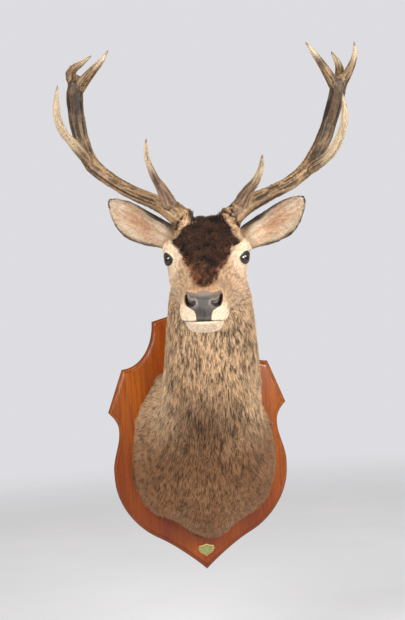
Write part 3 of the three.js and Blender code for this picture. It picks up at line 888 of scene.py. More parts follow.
def mat_markings(points, shares, colour):
    """The dark forehead mat, rusty at its edge and down the nose, and the pedicles' tan cuffs."""
    coat = bpy.context.scene.stag_markings
    local = to_head(points)
    ahead = local[:, 1]
    edge, core, deep = mat_share(local, 12), mat_share(local - (0, 8, 0), 5), mat_share(local, 40)
    core = core + 0.35 * mottle(local * (1, 0.3, 1), 5, 5) * ramp(ahead, 20, 90)
    dark = ramp(ahead, 205, 90) * (1 - ramp(ahead, 10, 90) * ramp(deep, 0.8, 0.2))
    mat = mix(mix(coat.rust, coat.mat_brown, 0.85), coat.mat_dark, dark)
    mat = mix(mat, coat.mat_brown, 0.35 * ramp(mottle(points, 0.012, 9), 0, 0.8))
    not_ear = 1 - ears(shares)
    colour = mix(colour, coat.rust, edge * not_ear * 0.75)
    colour = mix(colour, mat, ramp(core, 0.3, 0.9) * not_ear)
    cuff = ramp(from_burrs(points), 0.045, 0.03) * ramp(np.abs(local[:, 0]), 30, 44)
    return mix(colour, mix(coat.tan, coat.fawn, 0.4), 0.9 * cuff * not_ear)


def bare_markings(points, colour):
    """Bare places: the pad, the nostrils with a painted highlight on their wings and painted shade inside,
    the lips' line and the rims of the lids.
    """
    coat = bpy.context.scene.stag_markings
    local = to_head(points)
    side, ahead, above = local.T
    pad = ramp(pad_inside(local), -0.5, 1)
    nostril = nostril_distance(local)
    # a painted highlight along the upper rim of each nostril's wing; with the pad's paler upper edge it takes
    # the pad's pale colour
    wing_highlight = bump(nostril, 3.2, 2.4) * ramp(above, -12, -1) * (0.8 + 0.3 * mottle(local, 4, 6))
    grey = np.array(coat.pad_grey) * (1 + 0.35 * mottle(local, 7, 12))[:, None]
    grey = mix(grey, coat.pad_pale_and_highlight, np.maximum(0.75 * ramp(above, 8, 15), 0.7 * wing_highlight))
    grey = mix(grey, coat.nostril_brown, ramp(nostril, -1.5, -4) * ramp(above, 1, -3))
    colour = mix(colour, grey, pad)
    # painted shade inside each nostril, full from its edge inward, giving way to brown low down inside
    dark = ramp(nostril, 0.8, -0.8) * (1 - 0.75 * ramp(nostril, -2.5, -5) * ramp(above, 1, -3))
    lips = ramp(np.abs(mouth_height(local)), 1.8, 0.6) * ramp(ahead, MOUTH_CORNER - 4, MOUTH_CORNER + 4)
    dark = np.maximum(dark, lips * (above < LIPS_TOP) * (0.55 + 0.45 * ramp(np.abs(side), 30, 12)))
    dark = np.maximum(dark, 0.55 * ramp(slit_distance(local), 1.4, 0.2))
    for eye in SIDES:
        outside, rise_round, radius, _ = round_eye(points, eye)
        dark = np.maximum(dark, ramp(outside, *rim_edges(rise_round)) * (radius < EYE_REGION))
    return mix(colour, coat.bare_dark_and_shade, dark)


def markings(points, normals, shares):
    """The coat's own colour at each point, the same for skin and tufts."""
    body, face = body_markings(points, normals), face_markings(points, shares)
    colour = mix(body, face, ramp(head_and_ears(shares), 0.2, 0.8))
    colour = mat_markings(points, shares, colour)
    colour = ear_markings(points, normals, shares, colour)
    return bare_markings(points, colour)


# --- Coat ---


def lie_of_coat(points, normals, shares):
    """The way that the hair lies at each point, along the skin."""
    local = to_head(points)
    side, ahead, above = local.T
    out = np.abs(side)
    body = mix((0.0, 0.6, -0.8), (0.0, 0.3, -0.95), share_of(shares, "neck_upper"))
    body = mix(body, (0.0, 0.8, -0.6), share_of(shares, "chest"))
    body = mix(body, (0.0, 0.1, -1.0), ramp(-points[:, 1], 0.06, 0.03))
    sweep = np.stack((0.25 * side / 60, -np.ones(len(side)), -0.35 * ramp(out, 30, 60)), axis=1)
    sweep[:, 2] += 0.5 * ramp(above, 5, 30) * ramp(out, 60, 40)
    sweep[:, 2] -= 0.8 * ramp(ahead, 190, 215) * ramp(above, 0, -25)
    face = (sweep * (1, -1, 1)) @ HEAD_TURNED.T
    head = ramp(share_of(shares, *HEAD), 0.3, 0.7)
    lie = mix(body, face, head)
    for ear in SIDES:
        base, tip, across = ear_line(ear)
        _, width, _ = on_ear(points, ear)
        spread = unit(tip - base) + across * (width / 45)[:, None]
        lie = mix(lie, spread, ramp(share_of(shares, "ear_" + ear), 0.3, 0.7))
    lie -= normals * (lie * normals).sum(axis=1, keepdims=True)
    return unit(lie + 1e-9)


class Hide:
    """The skin's own arrays, from which the coats grow."""

    def __init__(self, mesh, shares):
        self.points, self.normals, self.shares = places_of(mesh), normals_of(mesh), shares
        self.faces = faces_of(mesh)
        self.colour = markings(self.points, self.normals, shares)
        self.lie = lie_of_coat(self.points, self.normals, shares)
        self.local = to_head(self.points)
        self.grain = self.laid_out()
        self.tree = tree_of(self.points)

    def laid_out(self):
        """Coordinates drawn out along the lie of the hair, in metres."""
        head = self.local * MM * (1, 0.2, 1)
        body = self.points * (1, 1, 0.2)
        return mix(body, head, ramp(head_and_ears(self.shares), 0.3, 0.7))

    def laid(self, spots):
        """Spots brought down to the skin under them, with the skin's normal there."""
        near = nearest(self.tree, spots)
        normals = self.normals[near]
        above = ((spots - self.points[near]) * normals).sum(axis=1, keepdims=True)
        return spots - normals * above, normals

    def roots(self, weight, count, chance):
        """Settled random roots, thick where the weight is high, with what the skin holds at each."""
        face, parts = scattered(self.points, self.faces, weight, count, chance)
        fields = (self.points, self.normals, self.colour, self.lie, self.grain)
        return [(field[face] * parts).sum(axis=1) for field in fields]


HIDE = {}  # the skin's arrays, kept for the coats that grow on it

# The tuft's width at rows from its root, before its tip. Its section is a low three-sided ridge.
TUFT_ROWS = {1: ((0,), (1,)), 2: ((0, 0.45), (0.7, 1))}
TUFT_THICK = 0.3
ROOT_DEPTH = 0.6  # how far a tuft's root is sunk into the skin, in millimetres
SMALLEST, SPREAD = 0.65, 0.7  # a tuft's least size, and how much larger the largest is
LOWEST, RANGE = 0.3, 0.7  # the same for its height
TURN_PATCH, GATHER_PATCH = 0.03, 0.009  # patches of tufts that turn and gather alike, in metres
CURL_TURN = 5.0  # how far round a curl goes, in radians
ROOTS_BEGIN = (23.5 * MM, 26 * MM)  # the long coat grows only farther than this from the wall
BOARD_FACE = 19 * MM  # hair nearer to the wall than this is pressed against the board
PRESSED = 0.85  # how much of its way behind there is taken from it
TUFT_LEANING, NORMAL_SHARE = 0.5, 0.8  # how far a tuft's sides and the skin turn its shading
BAKE_PATCH, BAKE_EDGE, BAKE_SPAN = 0.003, 0.005, 0.985  # a tuft's patch, the first and the rest


def tuft_faces(rows):
    """The triangles of one closed tuft, counted from its first vertex."""
    faces = [(0, 2, 1)]
    for row in range(rows - 1):
        for corner in range(3):
            a, b = row * 3 + corner, row * 3 + (corner + 1) % 3
            faces += [(a, b, b + 3), (a, b + 3, a + 3)]
    last = rows * 3
    faces += [(last - 3 + corner, last - 3 + (corner + 1) % 3, last) for corner in range(3)]
    return np.array(faces)


def bake_cells(around, along):
    """A cell of its own for each tuft, in the order of its root round and along the skin."""
    count = len(around)
    strips = int(math.sqrt(count))
    strip = np.argsort(np.argsort(along)) * strips // count
    order = np.lexsort((around, strip))
    starts = np.searchsorted(strip[order], np.arange(strips))
    cell = np.empty((count, 2))
    sizes = np.bincount(strip, minlength=strips)
    cell[order, 0] = (np.arange(count) - starts[strip[order]]) / np.maximum(sizes[strip[order]], 1)
    cell[:, 1] = strip / strips
    return BAKE_EDGE + cell * BAKE_SPAN


def triangle_mesh(name, points, faces):
    """A mesh of triangles from arrays."""
    mesh = bpy.data.meshes.new(name)
    mesh.vertices.add(len(points))
    mesh.vertices.foreach_set("co", points.astype(np.float32).ravel())
    mesh.loops.add(faces.size)
    mesh.loops.foreach_set("vertex_index", faces.astype(np.int32).ravel())
    mesh.polygons.add(len(faces))
    mesh.polygons.foreach_set("loop_start", np.arange(0, faces.size, 3, dtype=np.int32))
    mesh.update(calc_edges=True)
    return mesh


class Tuft(NamedTuple):
    """The make of one coat's tufts, in millimetres and radians."""

    length: float
    width: float
    height: float
    rows: int
    gather: float
    seed: int
    stray: float = 0.12
    lift: float = 0.0
    curl: float = 0.0


def full_length(roots):
    """The growth of hair that is as long everywhere."""
    return np.ones(len(roots))


def strayed(tuft, roots, normals, lie, chance):
    """The ways along and across each tuft, turned a little from the lie of the coat."""
    across = unit(np.cross(normals, lie))
    turn = chance.normal(0, tuft.stray, len(roots))
    turn = (turn + 2.2 * tuft.stray * mottle(roots, TURN_PATCH, tuft.seed + 1))[:, None]
    return lie * np.cos(turn) + across * np.sin(turn), across * np.cos(turn) - lie * np.sin(turn)


def tuft_points(hide, tuft, roots, normals, lie, across, grown, chance):
    """The points of every tuft: three for each row from its root, and its tip."""
    count = len(roots)
    size = (SMALLEST + SPREAD * chance.random(count)) * grown
    length = tuft.length * size * MM
    height = tuft.height * (LOWEST + RANGE * chance.random(count)) * np.minimum(size, 1.2) * MM
    gather = tuft.gather * mottle(roots, GATHER_PATCH, tuft.seed + 2) * MM
    phase = chance.random(count) * 2 * math.pi
    rows, widths = TUFT_ROWS[tuft.rows]
    rings = []
    for t, wide in zip(rows + (1,), widths + (0,)):
        rise = height * (1 - math.exp(-4 * t)) + tuft.lift * length * t * t - ROOT_DEPTH * MM * (t == 0)
        drift = gather * t * t
        if tuft.curl:
            swing = phase + t * CURL_TURN
            drift = drift + tuft.curl * MM * t * np.sin(swing)
            rise = rise + tuft.curl * MM * t * (0.5 + 0.5 * np.cos(swing))
        flat, up = (roots, normals) if t == 0 else hide.laid(roots + lie * (length * t)[:, None])
        centre = flat + up * rise[:, None] + across * drift[:, None]
        half = (tuft.width * wide / 2 * MM * np.sqrt(size))[:, None]
        if t == 1:
            rings.append(centre[:, None])
        else:
            ridge = centre + up * half * 2 * TUFT_THICK
            rings.append(np.stack((centre - across * half, centre + across * half, ridge), axis=1))
    points = np.concatenate(rings, axis=1)
    points[..., 1] -= PRESSED * np.maximum(points[..., 1] + BOARD_FACE, 0)
    return points


def grow_coat(name, weight, count, tuft, shade, around_along, scale=full_length):
    """A piece of coat: solid tufts that lie along the skin. shade gives their root and tip colours."""
    hide = HIDE["skin"]
    chance = np.random.default_rng(tuft.seed)
    roots, normals, colour, lie, grain = hide.roots(weight, count, chance)
    normals = unit(normals)
    lie, across = strayed(tuft, roots, normals, unit(lie), chance)
    points = tuft_points(hide, tuft, roots, normals, lie, across, scale(roots), chance)
    per = points.shape[1]
    faces = tuft_faces(tuft.rows) + (np.arange(count) * per)[:, None, None]
    mesh = triangle_mesh(name, points.reshape(-1, 3), faces.reshape(-1, 3))
    mesh.shade_smooth()
    leaning = TUFT_LEANING * np.array([-1, 1, 0] * tuft.rows + [0])[:, None]
    soft = unit(normals[:, None] * NORMAL_SHARE + across[:, None] * leaning)
    mesh.normals_split_custom_set_from_vertices(np.broadcast_to(soft, points.shape).reshape(-1, 3))
    root_colour, tip_colour = shade(grain, colour, chance)
    t = [*np.repeat(TUFT_ROWS[tuft.rows][0], 3), 1.0]
    strands = mix(root_colour[:, None], tip_colour[:, None], np.array(t)[None] ** 0.8)
    keep_attribute(mesh, "coat", with_alpha(strands.reshape(-1, 3)))
    cell = bake_cells(*around_along(roots))
    spot = np.stack(([0, 1, 0.5] * tuft.rows + [0.5], t), axis=1) * BAKE_PATCH
    flat = (cell[:, None] + spot[None]).reshape(-1, 2)
    mesh.uv_layers.new(name="OFBake").uv.foreach_set("vector", flat[faces.ravel()].astype(np.float32).ravel())
    finished(added(name, mesh), "coat", bpy.data.materials.get("Coat") or coat_material())


def round_neck(roots):
    """Each root's angle round the neck and its place along it."""
    angle = np.arctan2(roots[:, 0], -(roots[:, 1] + 0.15 + 0.3 * roots[:, 2]))
    return angle, roots[:, 2] - 0.8 * roots[:, 1]


def round_head(roots):
    """Each root's angle round the head and its place along it."""
    side, ahead, above = to_head(roots).T
    return np.arctan2(side, above + 40), ahead


def agouti_and_painted_light(dark, pale, contrast, size, seed, clumped=0.75):
    """Shades for tufts: the hair's dark roots and pale tips in clumps along the lie, with painted highlight
    on the tips and painted shade at the roots.
    """

    def shade(grain, colour, chance):
        streak = clumped * mottle(grain, size, seed) + 0.4 * clumped * mottle(grain, size * 0.45, seed + 1)
        pick = np.clip(0.5 + contrast * (streak + chance.normal(0, 0.25, len(grain))), 0, 1)
        # deep and lit are shaded and lit copies of the coat's colour: the pale clumps of tips are partly
        # painted highlights
        deep = colour * (dark + (0.75 - dark) * ramp(colour.mean(axis=1), 0.46, 0.6))[:, None]
        lit = colour * np.minimum(pale, 1 / colour.max(axis=1))[:, None]
        tip = mix(deep, lit, pick)
        # the roots: the hair's darker base and painted shade between the tufts
        return mix(tip * 0.45, deep * 0.7, 0.4), tip

    return shade


def body_growth(roots):
    """The share of a body tuft's full length: short under the jaw and round the shoulders at the board."""
    shoulder = ramp(-roots[:, 1], 0.1, 0.04) * ramp(roots[:, 2], -0.2, -0.1)
    return (0.5 + 0.5 * ramp(roots[:, 2], 0.27, 0.12)) * (1 - 0.5 * shoulder)


def face_growth(roots):
    """The share of a face tuft's full length: short round the eyes, and longer toward the nape."""
    away = 0.35 + 0.65 * ramp(eye_nearness(roots), 2, 16)
    return away * np.interp(to_head(roots)[:, 1], (-120, -40, 60, 160, 210), (2.0, 1.5, 1.0, 0.8, 0.5))


def mat_growth(roots):
    """The share of a mat tuft's full length: short at the mat's edge and down the nose."""
    local = to_head(roots)
    inner = 0.45 + 0.55 * mat_share(local, 22)
    return inner * np.interp(local[:, 1], (-110, -70, 30, 100, 190), (0.8, 1, 1, 0.6, 0.35))


# --- Materials ---


def feed(tree, socket, value):
    """Links a socket to another's result, or sets its own value."""
    if isinstance(value, bpy.types.NodeSocket):
        tree.links.new(value, socket)
    else:
        socket.default_value = value


def node(tree, kind, inputs=None, **settings):
    """Adds a node, sets its settings, and gives each named or numbered input a value or a link."""
    made = tree.nodes.new(kind)
    for name, value in settings.items():
        setattr(made, name, value)
    for key, value in (inputs or {}).items():
        feed(tree, made.inputs[key], value)
    return made


def maths(tree, operation, *values):
    """A Math node's result."""
    return node(tree, "ShaderNodeMath", dict(enumerate(values)), operation=operation).outputs[0]


def blended(tree, factor, first, second):
    """A Mix node's colour result."""
    return node(tree, "ShaderNodeMix", {0: factor, 6: first, 7: second}, data_type="RGBA").outputs[2]


def opaque(values):
    """A linear colour with its alpha."""
    return (*values, 1.0)


def stretched(tree, vector, scale, turn=(0, 0, 0)):
    """A vector scaled along each axis, so that a pattern draws out into grain."""
    return node(tree, "ShaderNodeMapping", {"Vector": vector, "Scale": scale, "Rotation": turn}).outputs[0]


def noise(tree, vector, scale, detail, rough=0.5):
    """A noise pattern from 0 to 1."""
    inputs = {"Vector": vector, "Scale": scale, "Detail": detail, "Roughness": rough}
    return node(tree, "ShaderNodeTexNoise", inputs).outputs[0]


def between(tree, value, start, end, low=0.0, high=1.0):
    """A value's share of the way from start to end."""
    inputs = {"Value": value, "From Min": start, "From Max": end, "To Min": low, "To Max": high}
    return node(tree, "ShaderNodeMapRange", inputs, interpolation_type="SMOOTHSTEP").outputs[0]


def attribute(tree, name):
    """A stored attribute's outputs."""
    return node(tree, "ShaderNodeAttribute", attribute_name=name).outputs


def own_place(tree):
    """The piece's own coordinates, in metres."""
    return node(tree, "ShaderNodeTexCoord").outputs["Object"]


def surface(name, base, roughness, height=None, bump_depth=1 * MM, strength=1.0, **plain):
    """A Principled material. base, roughness and height make their sockets from the tree."""
    material = bpy.data.materials.new(name)
    material.use_nodes = True
    tree = material.node_tree
    shader = tree.nodes["Principled BSDF"]
    for key, value in plain.items():
        feed(tree, shader.inputs[key.replace("_", " ").title().replace("Ior", "IOR")], value)
    for key, make in (("Base Color", base), ("Roughness", roughness)):
        feed(tree, shader.inputs[key], make(tree) if callable(make) else make)
    if height:
        inputs = {"Height": height(tree), "Distance": bump_depth, "Strength": strength}
        feed(tree, shader.inputs["Normal"], node(tree, "ShaderNodeBump", inputs).outputs[0])
    return material


def streak_group():
    """A group: a colour streaked by fine noise along the coordinates given, and the streaks' height."""
    if "Streaks" in bpy.data.node_groups:
        return bpy.data.node_groups["Streaks"]
    tree = bpy.data.node_groups.new("Streaks", "ShaderNodeTree")
    for name, kind, value in (
        ("Colour", "NodeSocketColor", (1, 1, 1, 1)),
        ("Grain", "NodeSocketVector", (0, 0, 0)),
        ("Scale", "NodeSocketFloat", 900.0),
        ("Low", "NodeSocketFloat", 0.6),
        ("High", "NodeSocketFloat", 1.2),
    ):
        tree.interface.new_socket(name, in_out="INPUT", socket_type=kind).default_value = value
    tree.interface.new_socket("Colour", in_out="OUTPUT", socket_type="NodeSocketColor")
    tree.interface.new_socket("Height", in_out="OUTPUT", socket_type="NodeSocketFloat")
    given = tree.nodes.new("NodeGroupInput").outputs
    fine = noise(tree, given["Grain"], given["Scale"], 3.0, 0.65)
    broad = noise(tree, given["Grain"], maths(tree, "MULTIPLY", given["Scale"], 0.23), 2.0)
    mask = maths(tree, "ADD", maths(tree, "MULTIPLY", fine, 0.65), maths(tree, "MULTIPLY", broad, 0.35))
    shade = between(tree, mask, 0.36, 0.64, given["Low"], given["High"])
    streaked = node(tree, "ShaderNodeVectorMath", {0: given["Colour"], "Scale": shade}, operation="SCALE")
    node(tree, "NodeGroupOutput", {"Colour": streaked.outputs[0], "Height": mask})
    return tree


def streaks(tree, grain, scale, low=0.6, high=1.2, tone=(1, 1, 1, 1)):
    """The Streaks group placed in a material."""
    inputs = {"Colour": tone, "Grain": grain, "Scale": scale, "Low": low, "High": high}
    return node(tree, "ShaderNodeGroup", inputs, node_tree=streak_group()).outputs


SKIN_HAIRS, TUFT_HAIRS, PEBBLES = 900.0, 1400.0, 760.0  # how many of each there are to a metre


def pebbles(tree):
    """The grain of bare leather, from 0 in the middle of each pebble."""
    return node(tree, "ShaderNodeTexVoronoi", {"Vector": own_place(tree), "Scale": PEBBLES}).outputs[0]


def skin_material():
    """Short flat hair over the skin, and the bare pad, lids and nostrils."""

    def base(tree):
        marks = attribute(tree, "markings")["Color"]
        grain = attribute(tree, "grain")["Vector"]
        streaked = streaks(tree, grain, SKIN_HAIRS, 0.5, 1.15, marks)["Colour"]
        lit = between(tree, pebbles(tree), 0.5, 0.1, 0.9, 1.2)
        pebbled = node(tree, "ShaderNodeVectorMath", {0: marks, "Scale": lit}, operation="SCALE").outputs[0]
        return blended(tree, attribute(tree, "bare")["Fac"], streaked, pebbled)

    def rough(tree):
        return maths(tree, "SUBTRACT", 0.75, maths(tree, "MULTIPLY", attribute(tree, "bare")["Fac"], 0.33))

    def height(tree):
        hair = streaks(tree, attribute(tree, "grain")["Vector"], SKIN_HAIRS)["Height"]
        made = {0: attribute(tree, "bare")["Fac"], 2: hair, 3: pebbles(tree)}
        return node(tree, "ShaderNodeMix", made, data_type="FLOAT").outputs[0]

    return surface("Skin", base, rough, height, 0.5 * MM, 0.8, specular_ior_level=0.3)


def coat_material():
    """Hair in tufts: each tuft's own colour, with fine strands."""

    def base(tree):
        own = attribute(tree, "coat")["Color"]
        return streaks(tree, own_place(tree), TUFT_HAIRS, 0.75, 1.15, own)["Colour"]

    def height(tree):
        return streaks(tree, own_place(tree), TUFT_HAIRS)["Height"]

    return surface("Coat", base, 0.65, height, 0.2 * MM, 0.5, specular_ior_level=0.1, sheen_weight=0.03)


# --- Antlers ---

ANTLER_VOXEL = 1.5 * MM
TINES = ("brow_tine", "trez_tine", "crown_front", "crown_rear", "crown_outer")
HORN_ROUND = 16 * MM  # the radius that patterns round an antler are laid out on
LINE_SPOTS, LINE_STEP = 9000, 5 * MM  # spots that a part's middle line is found from, and its steps
TIP_REACH, FEWEST_SPOTS = 55 * MM, 20
ANTLER_ROUNDS, BRANCH_ROUNDS = 25, 3  # rounds of evening out
BURR_HALF = (7 * MM, 5 * MM)  # a burr's crust ends between these heights from its middle


def antler_parts(side):
    """The names of one antler's solid parts."""
    return [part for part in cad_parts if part.startswith(f"antler_{side}_")]


def middle_line(part, start):
    """The middle of a tube-shaped solid part from its end nearer start: places, and radii there."""
    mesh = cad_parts[part].data
    points, faces = places_of(mesh), faces_of(mesh)
    face, corners = scattered(points, faces, np.ones(len(points)), LINE_SPOTS, np.random.default_rng(5))
    spots = (points[face] * corners).sum(axis=1)
    tip = spots[np.argmax(np.linalg.norm(spots - start, axis=1))]
    close = spots[np.linalg.norm(spots - tip, axis=1) < TIP_REACH]
    heading = unit(close.mean(axis=0) - tip)
    end = close[np.abs((close - tip) @ heading) < LINE_STEP]
    line = [end.mean(axis=0)]
    radii = [np.linalg.norm(end - line[0], axis=1).mean()]
    while True:
        off = spots - (line[-1] + heading * LINE_STEP)
        along = off @ heading
        out = np.linalg.norm(off - along[:, None] * heading, axis=1)
        ring = (np.abs(along) < LINE_STEP / 2) & (out < radii[-1] * 1.8 + 4 * MM)
        if ring.sum() < FEWEST_SPOTS:
            break
        centre = spots[ring].mean(axis=0)
        heading = unit(heading + unit(centre - line[-1]))
        line.append(centre)
        radii.append(np.linalg.norm(spots[ring] - centre, axis=1).mean())
    return np.array(line[::-1]), np.array(radii[::-1])


class Branch:
    """A beam or tine as a line with radii, on which places are found along and around it."""

    def __init__(self, line, radii):
        ends = line[[0, -1]]
        for _ in range(BRANCH_ROUNDS):
            line = np.concatenate((ends[:1], (line[:-2] + 2 * line[1:-1] + line[2:]) / 4, ends[1:]))
        lengths = np.concatenate(([0], np.cumsum(np.linalg.norm(np.diff(line, axis=0), axis=1))))
        stops = np.arange(0, lengths[-1], 2 * MM)
        self.line = np.stack([np.interp(stops, lengths, column) for column in line.T], axis=1)
        self.radii = np.interp(stops, lengths, radii)
        self.along = unit(np.gradient(self.line, axis=0))
        self.stops, self.length = stops, lengths[-1]
        side = np.array((0, -1.0, 0))
        sides = []
        for heading in self.along:
            side = unit(side - heading * (side @ heading))
            sides.append(side)
        self.sides = np.array(sides)

    def find(self, points):
        """Each point's place along the branch, its angle round it, and its distance in radii."""
        near = nearest(tree_of(self.line), points)
        off = points - self.line[near]
        ahead = (off * self.along[near]).sum(axis=1)
        flat = off - ahead[:, None] * self.along[near]
        up = np.cross(self.along[near], self.sides[near])
        angle = np.arctan2((flat * up).sum(axis=1), (flat * self.sides[near]).sum(axis=1))
        return self.stops[near] + ahead, angle, np.linalg.norm(flat, axis=1) / self.radii[near]


def branches(side):
    """The beam and then the tines of one antler, from their roots to their tips."""
    burr = middle(f"antler_{side}_burr")
    lower = middle_line(f"antler_{side}_beam_lower", burr)
    upper = middle_line(f"antler_{side}_beam_upper", burr)
    beam = Branch(*(np.concatenate((start[:-2], end[2:])) for start, end in zip(lower, upper)))
    made = {"beam": beam}
    for name in TINES:
        part = f"antler_{side}_{name}"
        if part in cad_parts:
            near = beam.line[np.argmin(np.linalg.norm(beam.line - middle(part), axis=1))]
            made[name] = Branch(*middle_line(part, near))
    return made


def horn_relief(along, angle, seed):
    """Long grooves and low pearls on an antler, each from -1 to 1."""
    around = np.stack((np.cos(angle), np.sin(angle)), axis=1) * HORN_ROUND
    drawn_out = np.column_stack((around, along * 0.1))
    fine = mottle(drawn_out, 2.6 * MM, seed + 1)
    grooves = 1 - 2.4 * np.abs(mottle(drawn_out, 5.5 * MM, seed)) + 0.3 * fine
    knobs = mottle(np.column_stack((around, along)), 4.2 * MM, seed + 2)
    return np.clip(grooves, -1, 1), knobs


# How far the crown's palm reaches down the beam and up its tines, and its share of their radii there.
PALM_BELOW, PALM_ABOVE = 26 * MM, 24 * MM
PALM_IN_BEAM, PALM_IN_TINE = 0.95, 0.6


def crown_palm(side):
    """The balls that the palm of a crown is stretched over: one in the beam and one in each tine."""
    made = branches(side)
    beam = made.pop("beam")
    low = np.searchsorted(beam.stops, beam.length - PALM_BELOW)
    balls = [(beam.line[low], beam.radii[low] * PALM_IN_BEAM)]
    for name, branch in made.items():
        if name.startswith("crown"):
            up = np.searchsorted(branch.stops, PALM_ABOVE)
            balls.append((branch.line[up], branch.radii[up] * PALM_IN_TINE))
    return balls


def burr_height(points, side):
    """How far each point is above the middle of the burr, along its beam."""
    centre = middle(f"antler_{side}_burr")
    beam = middle_line(f"antler_{side}_beam_lower", centre)[0]
    return (points - centre) @ unit(beam[4] - beam[0])


TIP_DRAWN = 28 * MM
# How far from its tip a tine starts to turn ivory and is ivory all over, in metres.
IVORY_ENDS = {"brow_tine": (0.11, 0.05), "trez_tine": (0.2, 0.13)}
CROWN_IVORY = (0.055, 0.02)


def stretch_tips(points, side):
    """Draws out the ends of the tines to the full length of the solid parts."""
    for name in TINES:
        part = f"antler_{side}_{name}"
        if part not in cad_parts:
            continue
        solid = places_of(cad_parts[part].data)
        beam = middle(f"antler_{side}_beam_" + ("upper" if "crown" in name else "lower"))
        tip = solid[np.argmax(np.linalg.norm(solid - beam, axis=1))]
        close = np.linalg.norm(points - tip, axis=1)
        end = points[np.argmin(close)]
        points = points + (tip - end) * ramp(close, TIP_DRAWN, close.min())[:, None]
    return points


def horn_colour(name, along, left, relief, angle):
    """Brown horn, dark in its grooves and worn pale on its ridges, with ivory tips."""
    horn = bpy.context.scene.stag_antlers
    grey = np.array(horn.grey)
    ridge = ramp(relief, -0.5, 1.2)
    if name == "beam":
        upper = ramp(along, 0.28, 0.45)
        base = mix(horn.brown, horn.dark, 0.95 * upper)
        pale = mix(horn.tan, horn.brown, upper - 0.6 * upper * bump(angle, 2.2, 0.9))
        return mix(mix(base, horn.dark, 0.6 * (1 - ridge)), pale, ridge * 0.8)
    root, pale = mix(horn.brown, horn.dark, 0.3), horn.tan
    if name == "brow_tine":
        root, pale = grey, grey * 1.5
    base = mix(mix(root, horn.dark, 0.6 * (1 - ridge)), pale, 0.6 * ridge)
    flecked = mix(horn.ivory, horn.brown, 0.7 * ramp(relief, -0.2, -0.9))
    colour = mix(base, flecked, 0.9 * ramp(left, *IVORY_ENDS.get(name, CROWN_IVORY)))
    return mix(colour, grey * 0.5, 0.7 * ramp(left, 0.012, 0.002))


def make_antler(side):
    """One antler's parts as one surface, grooved, with pearls toward its burr and ivory tips."""
    horn = bpy.context.scene.stag_antlers
    piece = fused("antler_" + side, antler_parts(side), ANTLER_VOXEL, crown_palm(side))
    mesh = piece.data
    place(mesh, relaxed(places_of(mesh), edges_of(mesh), ANTLER_ROUNDS))
    points, normals = places_of(mesh), normals_of(mesh)
    seed = 60 + SIDES[side] * 7
    weights, moves, colours, grains, pearls = [], [], [], [], []
    for number, (name, branch) in enumerate(branches(side).items()):
        along, angle, away = branch.find(points)
        left = branch.length - along
        grooves, knobs = horn_relief(along + number, angle, seed + 9 * number)
        beam = name == "beam"
        rough = ramp(left, 0.02, 0.11) if not beam else np.ones(len(points))
        low = ramp(along, 0.42, 0.12) if beam else ramp(along, 0.06, 0.0) * (name == "brow_tine")
        move = 0.5 + (0.8 * grooves + (0.25 + 0.75 * low) * 0.7 * np.maximum(knobs, -0.2)) * rough
        move += 1.2 * mottle(points, 0.03, seed + 5) * rough
        moves.append(move)
        pearls.append(low * rough)
        colours.append(horn_colour(name, along, left, grooves + 0.5 * knobs, angle))
        grains.append(np.column_stack((np.cos(angle) * HORN_ROUND, np.sin(angle) * HORN_ROUND, along * 0.08)))
        weights.append(np.exp(-9 * np.abs(away - 1)) * (along > -0.02))
    weights = np.array(weights) + 1e-9
    weights /= weights.sum(axis=0)
    burr = ramp(np.abs(burr_height(points, side)), *BURR_HALF)
    knobbed = mottle(points, 6 * MM, seed + 3)
    move = (weights * moves).sum(axis=0) * (1 - burr) + burr * 2.0 * knobbed
    colour = np.einsum("bp,bpc->pc", weights, np.array(colours))
    colour = mix(colour, mix(horn.dark, horn.grey, ramp(knobbed, -0.4, 0.5)), burr)
    grain = np.array(grains)[weights.argmax(axis=0), np.arange(len(points))]
    place(mesh, stretch_tips(points, side) + normals * move[:, None] * MM)
    keep_attribute(mesh, "horn", with_alpha(colour))
    keep_attribute(mesh, "grain", grain)
    keep_attribute(mesh, "pearls", np.clip((weights * pearls).sum(axis=0) * 0.5 + burr, 0, 1))
    mesh.shade_smooth()
    return piece


PEARL_DENSITY, PEARL_FLATNESS = 60000.0, 0.55  # the most to a square metre, and height over width


